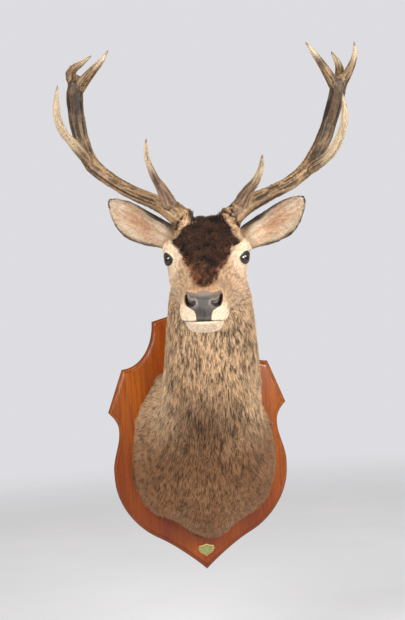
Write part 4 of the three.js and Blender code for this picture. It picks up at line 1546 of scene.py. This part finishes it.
def pearl_tree(material):
    """Geometry nodes that set small rounded pearls on a surface where its pearls attribute is high."""
    tree = bpy.data.node_groups.new("Pearls", "GeometryNodeTree")
    tree.interface.new_socket("Geometry", in_out="INPUT", socket_type="NodeSocketGeometry")
    for name, value in (("Spacing", 4 * MM), ("Smallest", 1 * MM), ("Largest", 2.2 * MM)):
        tree.interface.new_socket(name, in_out="INPUT", socket_type="NodeSocketFloat").default_value = value
    tree.interface.new_socket("Geometry", in_out="OUTPUT", socket_type="NodeSocketGeometry")
    given = tree.nodes.new("NodeGroupInput").outputs
    share = node(tree, "GeometryNodeInputNamedAttribute", {"Name": "pearls"}, data_type="FLOAT").outputs[0]
    spread = {
        "Mesh": given["Geometry"], "Distance Min": given["Spacing"], "Density Max": PEARL_DENSITY,
        "Density Factor": share, "Seed": 4,
    }
    spots = node(tree, "GeometryNodeDistributePointsOnFaces", spread, distribute_method="POISSON")
    pearl = node(tree, "GeometryNodeMeshIcoSphere", {"Radius": 1.0, "Subdivisions": 2})
    sizes = {"Min": given["Smallest"], "Max": given["Largest"], "Seed": 9}
    size = node(tree, "FunctionNodeRandomValue", sizes, data_type="FLOAT").outputs[1]
    flat = maths(tree, "MULTIPLY", size, PEARL_FLATNESS)
    scale = node(tree, "ShaderNodeCombineXYZ", {0: size, 1: size, 2: flat})
    set_on = node(tree, "GeometryNodeInstanceOnPoints", {
        "Points": spots.outputs["Points"], "Instance": pearl.outputs[0],
        "Rotation": spots.outputs["Rotation"], "Scale": scale.outputs[0],
    })
    real = node(tree, "GeometryNodeRealizeInstances", {"Geometry": set_on.outputs[0]})
    finish = node(tree, "GeometryNodeSetMaterial", {"Geometry": real.outputs[0], "Material": material})
    node(tree, "NodeGroupOutput", {"Geometry": finish.outputs[0]})
    return tree


def make_pearls(antler, side, material, settings):
    """The pearls of one antler as a piece of their own."""
    name = f"antler_{side}_pearls"
    piece = added(name, antler.data.copy())
    piece.data.materials.clear()
    tree = bpy.data.node_groups.get("Pearls") or pearl_tree(material)
    grown = piece.modifiers.new("Pearls", "NODES")
    grown.node_group = tree
    wanted = {
        "Spacing": settings.pearl_spacing,
        "Smallest": settings.pearl_small,
        "Largest": settings.pearl_large,
    }
    for item in tree.interface.items_tree:
        if item.name in wanted:
            grown[item.identifier] = wanted[item.name]
    settle(piece)
    piece.data.name = name
    piece.data.shade_smooth()
    return piece


HORN_GRAIN, HORN_STAINS, HORN_CRACKS = 700.0, 420.0, 900.0  # how many there are to a metre


def horn_material():
    """Antler: brown in the grooves, pale on the ridges and tips."""

    def base(tree):
        horn = attribute(tree, "horn")["Color"]
        streaked = streaks(tree, attribute(tree, "grain")["Vector"], HORN_GRAIN, 0.6, 1.25, horn)["Colour"]
        return streaks(tree, own_place(tree), HORN_STAINS, 0.8, 1.1, streaked)["Colour"]

    def rough(tree):
        return between(tree, noise(tree, own_place(tree), 160.0, 3.0), 0.3, 0.7, 0.42, 0.62)

    def height(tree):
        return streaks(tree, attribute(tree, "grain")["Vector"], HORN_CRACKS)["Height"]

    return surface("Antler", base, rough, height, 0.45 * MM, 0.8, specular_ior_level=0.2)


# --- Eyes ---

BALL_GAP = 0.15  # the ball's clearance under the lids, in millimetres
BULGE, TUCK = 1.3, 4  # how far the glass stands out over the iris and tucks in behind it
PUPIL_SQUARENESS = 2.6


def make_eye(side):
    """A glass eye: a ball with a clear bulge over its iris, drawn in under the lids."""
    bm = bmesh.new()
    bmesh.ops.create_uvsphere(bm, u_segments=72, v_segments=44, radius=1)
    mesh = mesh_from(bm, "glass_eye_" + side)
    ball = places_of(mesh)
    bulge = BULGE * ramp(ball[:, 2], 0.78, 0.97) - TUCK * ramp(ball[:, 2], 0.5, 0.15)
    local = ball * (EYE_RADIUS - BALL_GAP + bulge)[:, None]
    place(mesh, local @ eye_axes(side) * MM + middle("eye_" + side))
    if np.linalg.det(eye_axes(side)) < 0:
        mesh.flip_normals()
    keep_attribute(mesh, "gaze", local)
    mesh.shade_smooth()
    return added("glass_eye_" + side, mesh)


def eye_material(eye):
    """Dark brown iris with a long pupil across it, under polished glass."""

    def share(tree, value, half):
        """A place's distance from the middle as a power of its share of the pupil's half size."""
        size = maths(tree, "ABSOLUTE", maths(tree, "DIVIDE", value, half))
        return maths(tree, "POWER", size, PUPIL_SQUARENESS)

    def base(tree):
        x, y, _ = node(tree, "ShaderNodeSeparateXYZ", {0: attribute(tree, "gaze")["Vector"]}).outputs
        oval = maths(tree, "ADD", share(tree, x, eye.pupil_length), share(tree, y, eye.pupil_height))
        squares = maths(tree, "ADD", maths(tree, "MULTIPLY", x, x), maths(tree, "MULTIPLY", y, y))
        reach = maths(tree, "SQRT", squares)
        turn = maths(tree, "ARCTAN2", y, x)
        near = maths(tree, "MULTIPLY", reach, 0.05)
        spokes = node(tree, "ShaderNodeCombineXYZ", {0: turn, 1: near}).outputs[0]
        fibres = noise(tree, spokes, 9.0, 3.0, 0.7)
        iris = blended(tree, fibres, opaque(eye.iris_dark), opaque(eye.iris_light))
        rim = between(tree, reach, eye.iris_radius * 0.8, eye.iris_radius)
        iris = blended(tree, rim, iris, opaque(eye.iris_rim))
        return blended(tree, between(tree, oval, 0.85, 1.15), opaque(eye.pupil), iris)

    return surface("Glass Eye", base, 0.03, specular_ior_level=0.4)


# --- Board and plaque ---

# The edge's section as places out from the back and in from the outline, in millimetres.
BOARD_EDGE = (
    (0, 0.8), (0.8, 0), (10.4, 0), (11, 0.7), (11, 1.9), (12.3, 2.1), (14.3, 2.8), (16.2, 4.1), (17.7, 6),
    (18.7, 8.1), (20.1, 8.2), (20.3, 9.1), (21.6, 9.5), (22, 10.3), (22, 11.8),
)
PLAQUE_EDGE = (
    (0.05, 0.2), (0.9, 0), (1.4, 0.25), (1.6, 0.8), (1.6, 1.9), (1.35, 2.2), (1.35, 2.6), (1.55, 2.9),
    (1.55, 3.4),
)
# A nail head's section as places out from its middle and up from its foot, as shares of its size.
NAIL_SECTION = ((0, 0), (1, 0), (1, 0.18), (0.93, 0.5), (0.72, 0.8), (0.4, 0.96), (0, 1))
SHARP_TURN, PLATE_SHARP, NAIL_SHARP = (math.radians(angle) for angle in (28, 32, 50))
OUTLINE_PARTS = 7  # how many parts each side of an outline is filled in with


def outline_of(part):
    """The outline of a plate's back face, in order, turning to the left as seen from the front."""
    bm = bmesh.new()
    bm.from_mesh(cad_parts[part].data)
    bmesh.ops.remove_doubles(bm, verts=bm.verts, dist=1e-6)
    back = max(vert.co.y for vert in bm.verts)
    rim = [edge for edge in bm.edges
           if all(back - vert.co.y < 1e-5 for vert in edge.verts) and edge.calc_face_angle(0) > 0.5]
    beside = {}
    for edge in rim:
        for one, other in (edge.verts, reversed(edge.verts)):
            beside.setdefault(one.index, []).append(other)
    start = min((vert for edge in rim for vert in edge.verts), key=lambda vert: vert.co.z)
    ring = [start]
    following = max(beside[start.index], key=lambda vert: vert.co.x)
    while following is not start:
        ring.append(following)
        one, other = beside[following.index]
        following = other if one is ring[-2] else one
    places = np.array([(vert.co.x, vert.co.z) for vert in ring])
    bm.free()
    return places


def smoothed_outline(ring):
    """An outline with its curves filled in between its points and its corners kept sharp."""
    before, after = np.roll(ring, 1, axis=0), np.roll(ring, -1, axis=0)
    one, two = ring - before, after - ring
    turn = np.abs(np.arctan2(one[:, 0] * two[:, 1] - one[:, 1] * two[:, 0], (one * two).sum(axis=1)))
    corner = turn > SHARP_TURN
    slope = (after - before) / 2
    filled = []
    for index in range(len(ring)):
        following = (index + 1) % len(ring)
        start, end = ring[index], ring[following]
        chord = end - start
        leave, arrive = (chord if corner[at] else unit(slope[at]) * np.linalg.norm(chord)
                         for at in (index, following))
        if corner[index] and not corner[following]:
            leave = 2 * chord - arrive
        if corner[following] and not corner[index]:
            arrive = 2 * chord - leave
        for t in np.arange(OUTLINE_PARTS) / OUTLINE_PARTS:
            filled.append(start * (2 * t**3 - 3 * t * t + 1) + leave * (t**3 - 2 * t * t + t)
                          + end * (3 * t * t - 2 * t**3) + arrive * (t**3 - t * t))
    return np.array(filled)


def drawn_in(ring, distance):
    """The same outline moved inward by a distance on every side, its points gathered where corners close."""
    ways = unit(np.roll(ring, -1, axis=0) - ring)
    inward = np.column_stack((-ways[:, 1], ways[:, 0]))
    bisector = unit(inward + np.roll(inward, 1, axis=0))
    moved = ring + bisector * (distance / np.maximum((bisector * inward).sum(axis=1), 0.35))[:, None]
    off = moved[:, None] - ring[None]
    lengths = np.linalg.norm(np.roll(ring, -1, axis=0) - ring, axis=1)
    along = np.clip((off * ways[None]).sum(axis=2), 0, lengths[None])
    gap = np.linalg.norm(off - along[..., None] * ways[None], axis=2).min(axis=1)
    clear = gap > distance * 0.999 - 1e-9
    kept = np.flatnonzero(clear)
    for index in np.flatnonzero(~clear):
        moved[index] = moved[kept[np.argmin(np.linalg.norm(moved[kept] - moved[index], axis=1))]]
    return moved


def smooth_piece(bm, name, sharp):
    """A piece shaded smooth but for the edges that turn by more than sharp."""
    bmesh.ops.recalc_face_normals(bm, faces=bm.faces)
    mesh = mesh_from(bm, name)
    mesh.shade_smooth()
    mesh.set_sharp_from_angle(angle=sharp)
    return added(name, mesh)


def make_plate(name, ring, section, back):
    """A closed plate with a moulded edge. Its front looks along -Y."""
    bm = bmesh.new()
    depth = bm.verts.layers.float.new("inset")
    rows = []
    for out, inward in section:
        spots = drawn_in(ring, inward * MM)
        rows.append([bm.verts.new((x, back - out * MM, z)) for x, z in spots])
        for vert in rows[-1]:
            vert[depth] = inward
    count = len(ring)
    for row, above in zip(rows[:-1], rows[1:]):
        for index in range(count):
            following = (index + 1) % count
            bm.faces.new((row[index], row[following], above[following], above[index]))
    for row in (rows[0][::-1], rows[-1]):
        bm.faces.new(row)
    bmesh.ops.remove_doubles(bm, verts=bm.verts, dist=1e-7)
    bmesh.ops.triangulate(bm, faces=[face for face in bm.faces if len(face.verts) > 4])
    return smooth_piece(bm, name, PLATE_SHARP)


WOOD_GRAIN, WOOD_BANDS, WOOD_PORES = 260.0, 16.0, 1100.0  # how many of each there are to a metre
# Where the painted shade of the board's outer edge and of its moulding's groove begins and is full, in from
# the outline.
EDGE_SHADE, GROOVE_OUTER, GROOVE_INNER = (2.2, 0.6), (7.6, 8.15), (9.2, 8.4)


def wood_material(board):
    """Polished mahogany: upright grain, fine pores, painted shade on its edge and groove and toward its lower
    end.
    """

    def base(tree):
        spot = own_place(tree)
        grain = noise(tree, stretched(tree, spot, (1, 1, 0.035)), WOOD_GRAIN, 4.0, 0.6)
        bands = noise(tree, stretched(tree, spot, (1, 1, 0.12)), WOOD_BANDS, 3.0)
        pores = noise(tree, stretched(tree, spot, (1, 1, 0.05)), WOOD_PORES, 1.0)
        banded = between(tree, bands, 0.35, 0.65)
        wood = blended(tree, banded, opaque(board.wood_deep), opaque(board.wood_warm))
        # painted shade: the wood darkens toward the board's lower end
        height = node(tree, "ShaderNodeSeparateXYZ", {0: spot}).outputs[2]
        wood = blended(tree, between(tree, height, 0.05, -0.25, 0, 0.6), wood, opaque(board.wood_low_shade))
        wood = blended(tree, between(tree, grain, 0.35, 0.7, 0, 0.55), wood, opaque(board.wood_grain))
        wood = blended(tree, between(tree, pores, 0.6, 0.75, 0, 0.5), wood, opaque(board.wood_pores))
        # painted shade on the outer edge, where it turns away from the light, and in the moulding's groove
        inset = attribute(tree, "inset")["Fac"]
        outer, inner = between(tree, inset, *GROOVE_OUTER), between(tree, inset, *GROOVE_INNER)
        edge = maths(tree, "MAXIMUM", between(tree, inset, *EDGE_SHADE), maths(tree, "MULTIPLY", outer, inner))
        return blended(tree, maths(tree, "MULTIPLY", edge, 0.82), wood, opaque(board.wood_edge_shade))

    def rough(tree):
        return between(tree, noise(tree, own_place(tree), 40.0, 3.0), 0.3, 0.7, 0.4, 0.5)

    def height(tree):
        return noise(tree, stretched(tree, own_place(tree), (1, 1, 0.05)), 900.0, 2.0)

    polish = {"coat_weight": 0.25, "coat_roughness": 0.12, "specular_ior_level": 0.06}
    return surface("Mahogany", base, rough, height, 0.12 * MM, 0.35, **polish)


# The same for the plaque: where its rubbed edge gives way to its face, and its groove.
RUBBED, BRASS_OUTER, BRASS_INNER = (1.8, 2.4), (1.85, 2.15), (2.75, 2.5)


def brass_material(board):
    """Old brass: a green bloom on its face, brighter where it is rubbed."""

    def base(tree):
        inset = attribute(tree, "inset")["Fac"]
        cloud = noise(tree, own_place(tree), 160.0, 4.0, 0.6)
        cloudy = between(tree, cloud, 0.35, 0.65)
        face = blended(tree, cloudy, opaque(board.brass_green), opaque(board.brass_pale))
        rubbed = maths(tree, "SUBTRACT", 1.0, between(tree, inset, *RUBBED))
        metal = blended(tree, rubbed, face, opaque(board.brass_rubbed))
        outer, inner = between(tree, inset, *BRASS_OUTER), between(tree, inset, *BRASS_INNER)
        groove = maths(tree, "MULTIPLY", maths(tree, "MULTIPLY", outer, inner), 0.7)
        return blended(tree, groove, metal, opaque(board.brass_groove))

    def rough(tree):
        return between(tree, noise(tree, own_place(tree), 300.0, 3.0), 0.3, 0.7, 0.35, 0.55)

    def height(tree):
        return noise(tree, stretched(tree, own_place(tree), (1, 1, 0.1), (0, 0.5, 0)), 1500.0, 2.0)

    return surface("Brass", base, rough, height, 0.05 * MM, 0.4, metallic=0.75)


def make_pin(side):
    """A small domed nail head."""
    low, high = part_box("plaque_pin_" + side)
    centre = middle("plaque_pin_" + side)
    radius, depth = (high.x - low.x) / 2, high.y - low.y
    bm = bmesh.new()
    verts = [bm.verts.new((out * radius, 0, -up * depth)) for out, up in NAIL_SECTION]
    edges = [bm.edges.new(pair) for pair in zip(verts[:-1], verts[1:])]
    bmesh.ops.spin(bm, geom=verts + edges, cent=(0, 0, 0), axis=(0, 0, 1), angle=2 * math.pi, steps=28)
    bmesh.ops.remove_doubles(bm, verts=bm.verts, dist=1e-6)
    bmesh.ops.rotate(bm, verts=bm.verts, matrix=Matrix.Rotation(-math.pi / 2, 3, "X"))
    bmesh.ops.translate(bm, verts=bm.verts, vec=(centre[0], high.y, centre[2]))
    return smooth_piece(bm, "nail_" + side, NAIL_SHARP)


# --- Studio ---

FLOOR_DROP = 0.32  # how far the floor lies below the mount, in metres
FLOOR_NEAR, FLOOR_FAR = 3.0, 5.2  # where the floor begins and ends its fade, in metres from its middle
KEY_PLACE, SECOND_PLACE = (-1.6, -2.6, 1.7), (1.7, -2.4, 1.2)
LIGHT_SIZE, LOOKED_AT, GLINT_AT = 1.4, (0, -0.3, 0.2), (0.1, -0.3, 0.3)
# The lights seen only in gloss: place, size and power.
GLINTS = {
    "Gleam": ((0.74, -3.2, 0.4), 0.5, 90),
    "Left Glint": ((-1.7, -1.7, 0.9), 0.75, 55),
    "Right Glint": ((1.7, -1.7, 0.9), 0.75, 55),
}


def studio_material(floor_colour):
    """A pale matt floor that fades into the backdrop with distance."""

    def base(tree):
        return streaks(tree, own_place(tree), 1.5, 0.96, 1.0, opaque(floor_colour))["Colour"]

    material = surface("Studio Floor", base, 0.7, specular_ior_level=0.1)
    tree = material.node_tree
    reach = node(tree, "ShaderNodeVectorMath", {0: own_place(tree)}, operation="LENGTH").outputs["Value"]
    shown = between(tree, reach, FLOOR_NEAR, FLOOR_FAR, 1.0, 0.0)
    feed(tree, tree.nodes["Principled BSDF"].inputs["Alpha"], shown)
    return material


def soft_light(name, at, look, size, power, tone):
    """A square soft light that shines toward a place."""
    light = bpy.data.lights.new(name, "AREA")
    light.shape, light.size, light.energy, light.color = "SQUARE", size, power, tone
    thing = added(name, light)
    thing.location = at
    thing.rotation_euler = (Vector(look) - thing.location).to_track_quat("-Z", "Y").to_euler()
    return thing


def main_camera(settings):
    """The camera: a long lens a little to the animal's right, rolled by a few degrees."""
    data = bpy.data.cameras.new("Camera")
    data.lens, data.clip_end = settings.lens, 50
    camera = added("Camera", data)
    yaw, roll = settings.camera_yaw, settings.camera_roll
    ahead = Vector((math.sin(yaw), math.cos(yaw), 0))
    right = Vector((math.cos(yaw), -math.sin(yaw), 0))
    up = Vector((0, 0, 1))
    across = right * math.cos(roll) - up * math.sin(roll)
    upward = right * math.sin(roll) + up * math.cos(roll)
    turned = Matrix((across, upward, -ahead)).transposed().to_4x4()
    camera.matrix_world = Matrix.Translation(settings.camera_place) @ turned
    bpy.context.scene.camera = camera


def pale_world(settings):
    """A pale backdrop that the camera sees, with a weaker, warmer light from all round."""
    world = bpy.data.worlds.new("Studio World")
    bpy.context.scene.world = world
    world.use_nodes = True
    tree = world.node_tree
    path = node(tree, "ShaderNodeLightPath").outputs["Is Camera Ray"]
    seen = node(tree, "ShaderNodeBackground", {"Color": opaque(settings.backdrop), "Strength": 1.0})
    lit = node(tree, "ShaderNodeBackground", {"Color": opaque(settings.warmth), "Strength": settings.fill})
    joined = node(tree, "ShaderNodeMixShader", {0: path, 1: lit.outputs[0], 2: seen.outputs[0]})
    feed(tree, tree.nodes["World Output"].inputs["Surface"], joined.outputs[0])


# --- Operators and panel ---


class StagSkin(bpy.types.Operator):
    """Fuses the parts of flesh into one skin and shapes its lids, nostrils, lips and ears"""

    bl_idname = "stag.skin"
    bl_label = "Skin"

    def execute(self, context):
        settings = context.scene.stag_skin
        piece, shares = make_skin(settings.voxel, settings.keep)
        hide = HIDE["skin"] = Hide(piece.data, shares)
        keep_attribute(piece.data, "markings", with_alpha(hide.colour))
        keep_attribute(piece.data, "grain", hide.grain)
        bare = np.maximum(ramp(pad_inside(hide.local), -0.5, 1), ramp(nostril_distance(hide.local), 1, -1))
        bare = np.maximum(bare, ramp(eye_nearness(hide.points), 2.8, 1.9))
        keep_attribute(piece.data, "bare", bare)
        finished(piece, "coat", skin_material())
        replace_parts(piece, *FLESH)
        return {"FINISHED"}


class StagBodyCoat(bpy.types.Operator):
    """Grows the long coat of the neck and chest"""

    bl_idname = "stag.body_coat"
    bl_label = "Body coat"

    def execute(self, context):
        hide, settings = HIDE["skin"], context.scene.stag_coat
        not_head = 1 - ramp(head_and_ears(hide.shares), 0.5, 0.8)
        open_air = ramp(-hide.points[:, 1], *ROOTS_BEGIN)
        chest = ramp(share_of(hide.shares, "chest"), 0.4, 0.6)
        for side, sign in SIDES.items():
            half = (hide.points[:, 0] * sign > -0.004) * not_head * open_air
            later = 5 * (sign > 0)
            makes = (
                ("chest", half * chest, Tuft(13, 1.9, 6, rows=1, gather=1.5, seed=11 + later),
                 agouti_and_painted_light(0.34, 2.2, 1.8, 0.003, 11 + later, 0.45)),
                ("neck", half * (1 - chest), Tuft(25, 2.6, 8, rows=1, gather=3, seed=12 + later),
                 agouti_and_painted_light(0.28, 1.9, 2.0, 0.003, 12 + later)),
            )
            for part, weight, tuft, shade in makes:
                name = f"coat_{part}_{side}"
                grow_coat(name, weight, settings.body_tufts, tuft, shade, round_neck, body_growth)
        return {"FINISHED"}


class StagFaceCoat(bpy.types.Operator):
    """Grows the short coat of the face and the curly mat of the forehead"""

    bl_idname = "stag.face_coat"
    bl_label = "Face coat"

    def execute(self, context):
        hide, settings = HIDE["skin"], context.scene.stag_coat
        local = hide.local
        head = ramp(share_of(hide.shares, *HEAD), 0.3, 0.6)
        haired = ramp(pad_inside(local), 0, -1.5) * ramp(eye_nearness(hide.points), 1.8, 3)
        from_lips = np.abs(mouth_height(local)) + 9 * (local[:, 1] < MOUTH_CORNER - 4)
        haired *= ramp(nostril_distance(local), 0.5, 2) * ramp(from_lips, 0.8, 2)
        mat = mat_share(local, 4)
        for side, sign in SIDES.items():
            half = (local[:, 0] * sign > -2) * head * haired * (1 - 0.8 * mat)
            tuft = Tuft(9, 1.15, 1.6, rows=1, gather=0.8, seed=21 + sign)
            shade = agouti_and_painted_light(0.42, 1.4, 1.4, 0.0032, 22)
            grow_coat(f"coat_face_{side}", half, settings.face_tufts, tuft, shade, round_head, face_growth)
        clear = ramp(from_burrs(hide.points), 0.03, 0.036)
        clear *= ramp(hide.colour.mean(axis=1), 0.16, 0.09)
        weight = mat * head * haired * clear
        tuft = Tuft(13, 1.6, 6.5, rows=2, stray=0.75, gather=3.5, lift=0.06, curl=2.6, seed=31)
        shade = agouti_and_painted_light(0.16, 3.6, 3.2, 0.0048, 33)
        grow_coat("coat_forehead_mat", weight, settings.mat_tufts, tuft, shade, round_head, mat_growth)
        return {"FINISHED"}


class StagEarCoat(bpy.types.Operator):
    """Grows the hair of the ears"""

    bl_idname = "stag.ear_coat"
    bl_label = "Ear coat"

    def execute(self, context):
        hide, settings = HIDE["skin"], context.scene.stag_coat
        for side in SIDES:
            weight = ramp(share_of(hide.shares, "ear_" + side), 0.4, 0.7)

            def along_ear(roots):
                reach, width, _ = on_ear(roots, side)
                return width, reach

            tuft = Tuft(14, 1.3, 2.6, rows=2, gather=1.6, seed=41)
            shade = agouti_and_painted_light(0.75, 1.1, 1.3, 0.003, 43)
            grow_coat(f"coat_ear_{side}", weight, settings.ear_tufts, tuft, shade, along_ear)
        return {"FINISHED"}


class StagAntlers(bpy.types.Operator):
    """Fuses each antler's parts, cuts its grooves and sets its pearls"""

    bl_idname = "stag.antlers"
    bl_label = "Antlers"

    def execute(self, context):
        material = horn_material()
        for side in SIDES:
            antler = finished(make_antler(side), "antler", material)
            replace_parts(antler, *antler_parts(side))
            pearls = make_pearls(antler, side, material, context.scene.stag_antlers)
            finished(pearls, "antler")
        return {"FINISHED"}


class StagEyes(bpy.types.Operator):
    """Sets a glass eye in each socket"""

    bl_idname = "stag.eyes"
    bl_label = "Eyes"

    def execute(self, context):
        material = eye_material(context.scene.stag_eyes)
        for side in SIDES:
            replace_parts(finished(make_eye(side), "eye", material), "eye_" + side)
        return {"FINISHED"}


class StagBoard(bpy.types.Operator):
    """Makes the moulded board, the blank plaque and its nails"""

    bl_idname = "stag.board"
    bl_label = "Board"

    def execute(self, context):
        settings = context.scene.stag_board
        wood, brass = wood_material(settings), brass_material(settings)
        board = make_plate("shield_board", smoothed_outline(outline_of("board")), BOARD_EDGE, 0)
        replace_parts(finished(board, "board", wood), "board")
        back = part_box("plaque")[1].y
        plaque = make_plate("blank_plaque", smoothed_outline(outline_of("plaque")), PLAQUE_EDGE, back)
        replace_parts(finished(plaque, "brass", brass), "plaque")
        for side in SIDES:
            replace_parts(finished(make_pin(side), "brass", brass), "plaque_pin_" + side)
        return {"FINISHED"}


class StagStudio(bpy.types.Operator):
    """Sets the camera, the pale backdrop and floor, and the soft lights"""

    bl_idname = "stag.studio"
    bl_label = "Studio"

    def execute(self, context):
        settings = context.scene.stag_studio
        context.scene.view_settings.view_transform = "Standard"
        main_camera(settings)
        pale_world(settings)
        bm = bmesh.new()
        bmesh.ops.create_circle(bm, cap_ends=True, segments=96, radius=FLOOR_FAR)
        bmesh.ops.translate(bm, verts=bm.verts, vec=(0, 0, CAD_BOX[0].z - FLOOR_DROP))
        floor = added("studio_floor", mesh_from(bm, "studio_floor"))
        floor.data.materials.append(studio_material(settings.floor))
        warmth = settings.warmth
        soft_light("Key", KEY_PLACE, LOOKED_AT, LIGHT_SIZE, settings.key_power, warmth)
        soft_light("Second", SECOND_PLACE, LOOKED_AT, LIGHT_SIZE, settings.second_power, warmth)
        for name, (spot, size, power) in GLINTS.items():
            glint = soft_light(name, spot, GLINT_AT, size, power, warmth)
            glint.visible_diffuse = False
        return {"FINISHED"}


class StagPanel(bpy.types.Panel):
    """The mount's pieces, in the order of their making, and what can be changed"""

    bl_idname = "VIEW3D_PT_stag_mount"
    bl_label = "Stag Mount"
    bl_space_type = "VIEW_3D"
    bl_region_type = "UI"
    bl_category = "Stag Mount"

    def draw(self, context):
        for maker in MAKERS:
            self.layout.operator(maker.bl_idname)
        for name, group in SETTINGS.items():
            box = self.layout.box()
            for setting in group.__annotations__:
                box.prop(getattr(context.scene, name), setting)


SETTINGS = {
    "stag_skin": SkinSettings, "stag_markings": MarkingSettings, "stag_coat": CoatSettings,
    "stag_eyes": EyeSettings, "stag_antlers": AntlerSettings, "stag_board": BoardSettings,
    "stag_studio": StudioSettings,
}
MAKERS = (StagSkin, StagEyes, StagBodyCoat, StagFaceCoat, StagEarCoat, StagAntlers, StagBoard, StagStudio)


def register():
    """Adds the settings, operators and panel to Blender."""
    for made in (*SETTINGS.values(), *MAKERS, StagPanel):
        bpy.utils.register_class(made)
    for name, group in SETTINGS.items():
        setattr(bpy.types.Scene, name, PointerProperty(type=group))


def unregister():
    """Takes them out again."""
    for name in SETTINGS:
        delattr(bpy.types.Scene, name)
    for made in (StagPanel, *reversed(MAKERS), *SETTINGS.values()):
        bpy.utils.unregister_class(made)


def main():
    register()
    bpy.ops.stag.skin()
    bpy.ops.stag.eyes()
    bpy.ops.stag.body_coat()
    bpy.ops.stag.face_coat()
    bpy.ops.stag.ear_coat()
    bpy.ops.stag.antlers()
    bpy.ops.stag.board()
    bpy.ops.stag.studio()


if __name__ == "__main__":
    main()
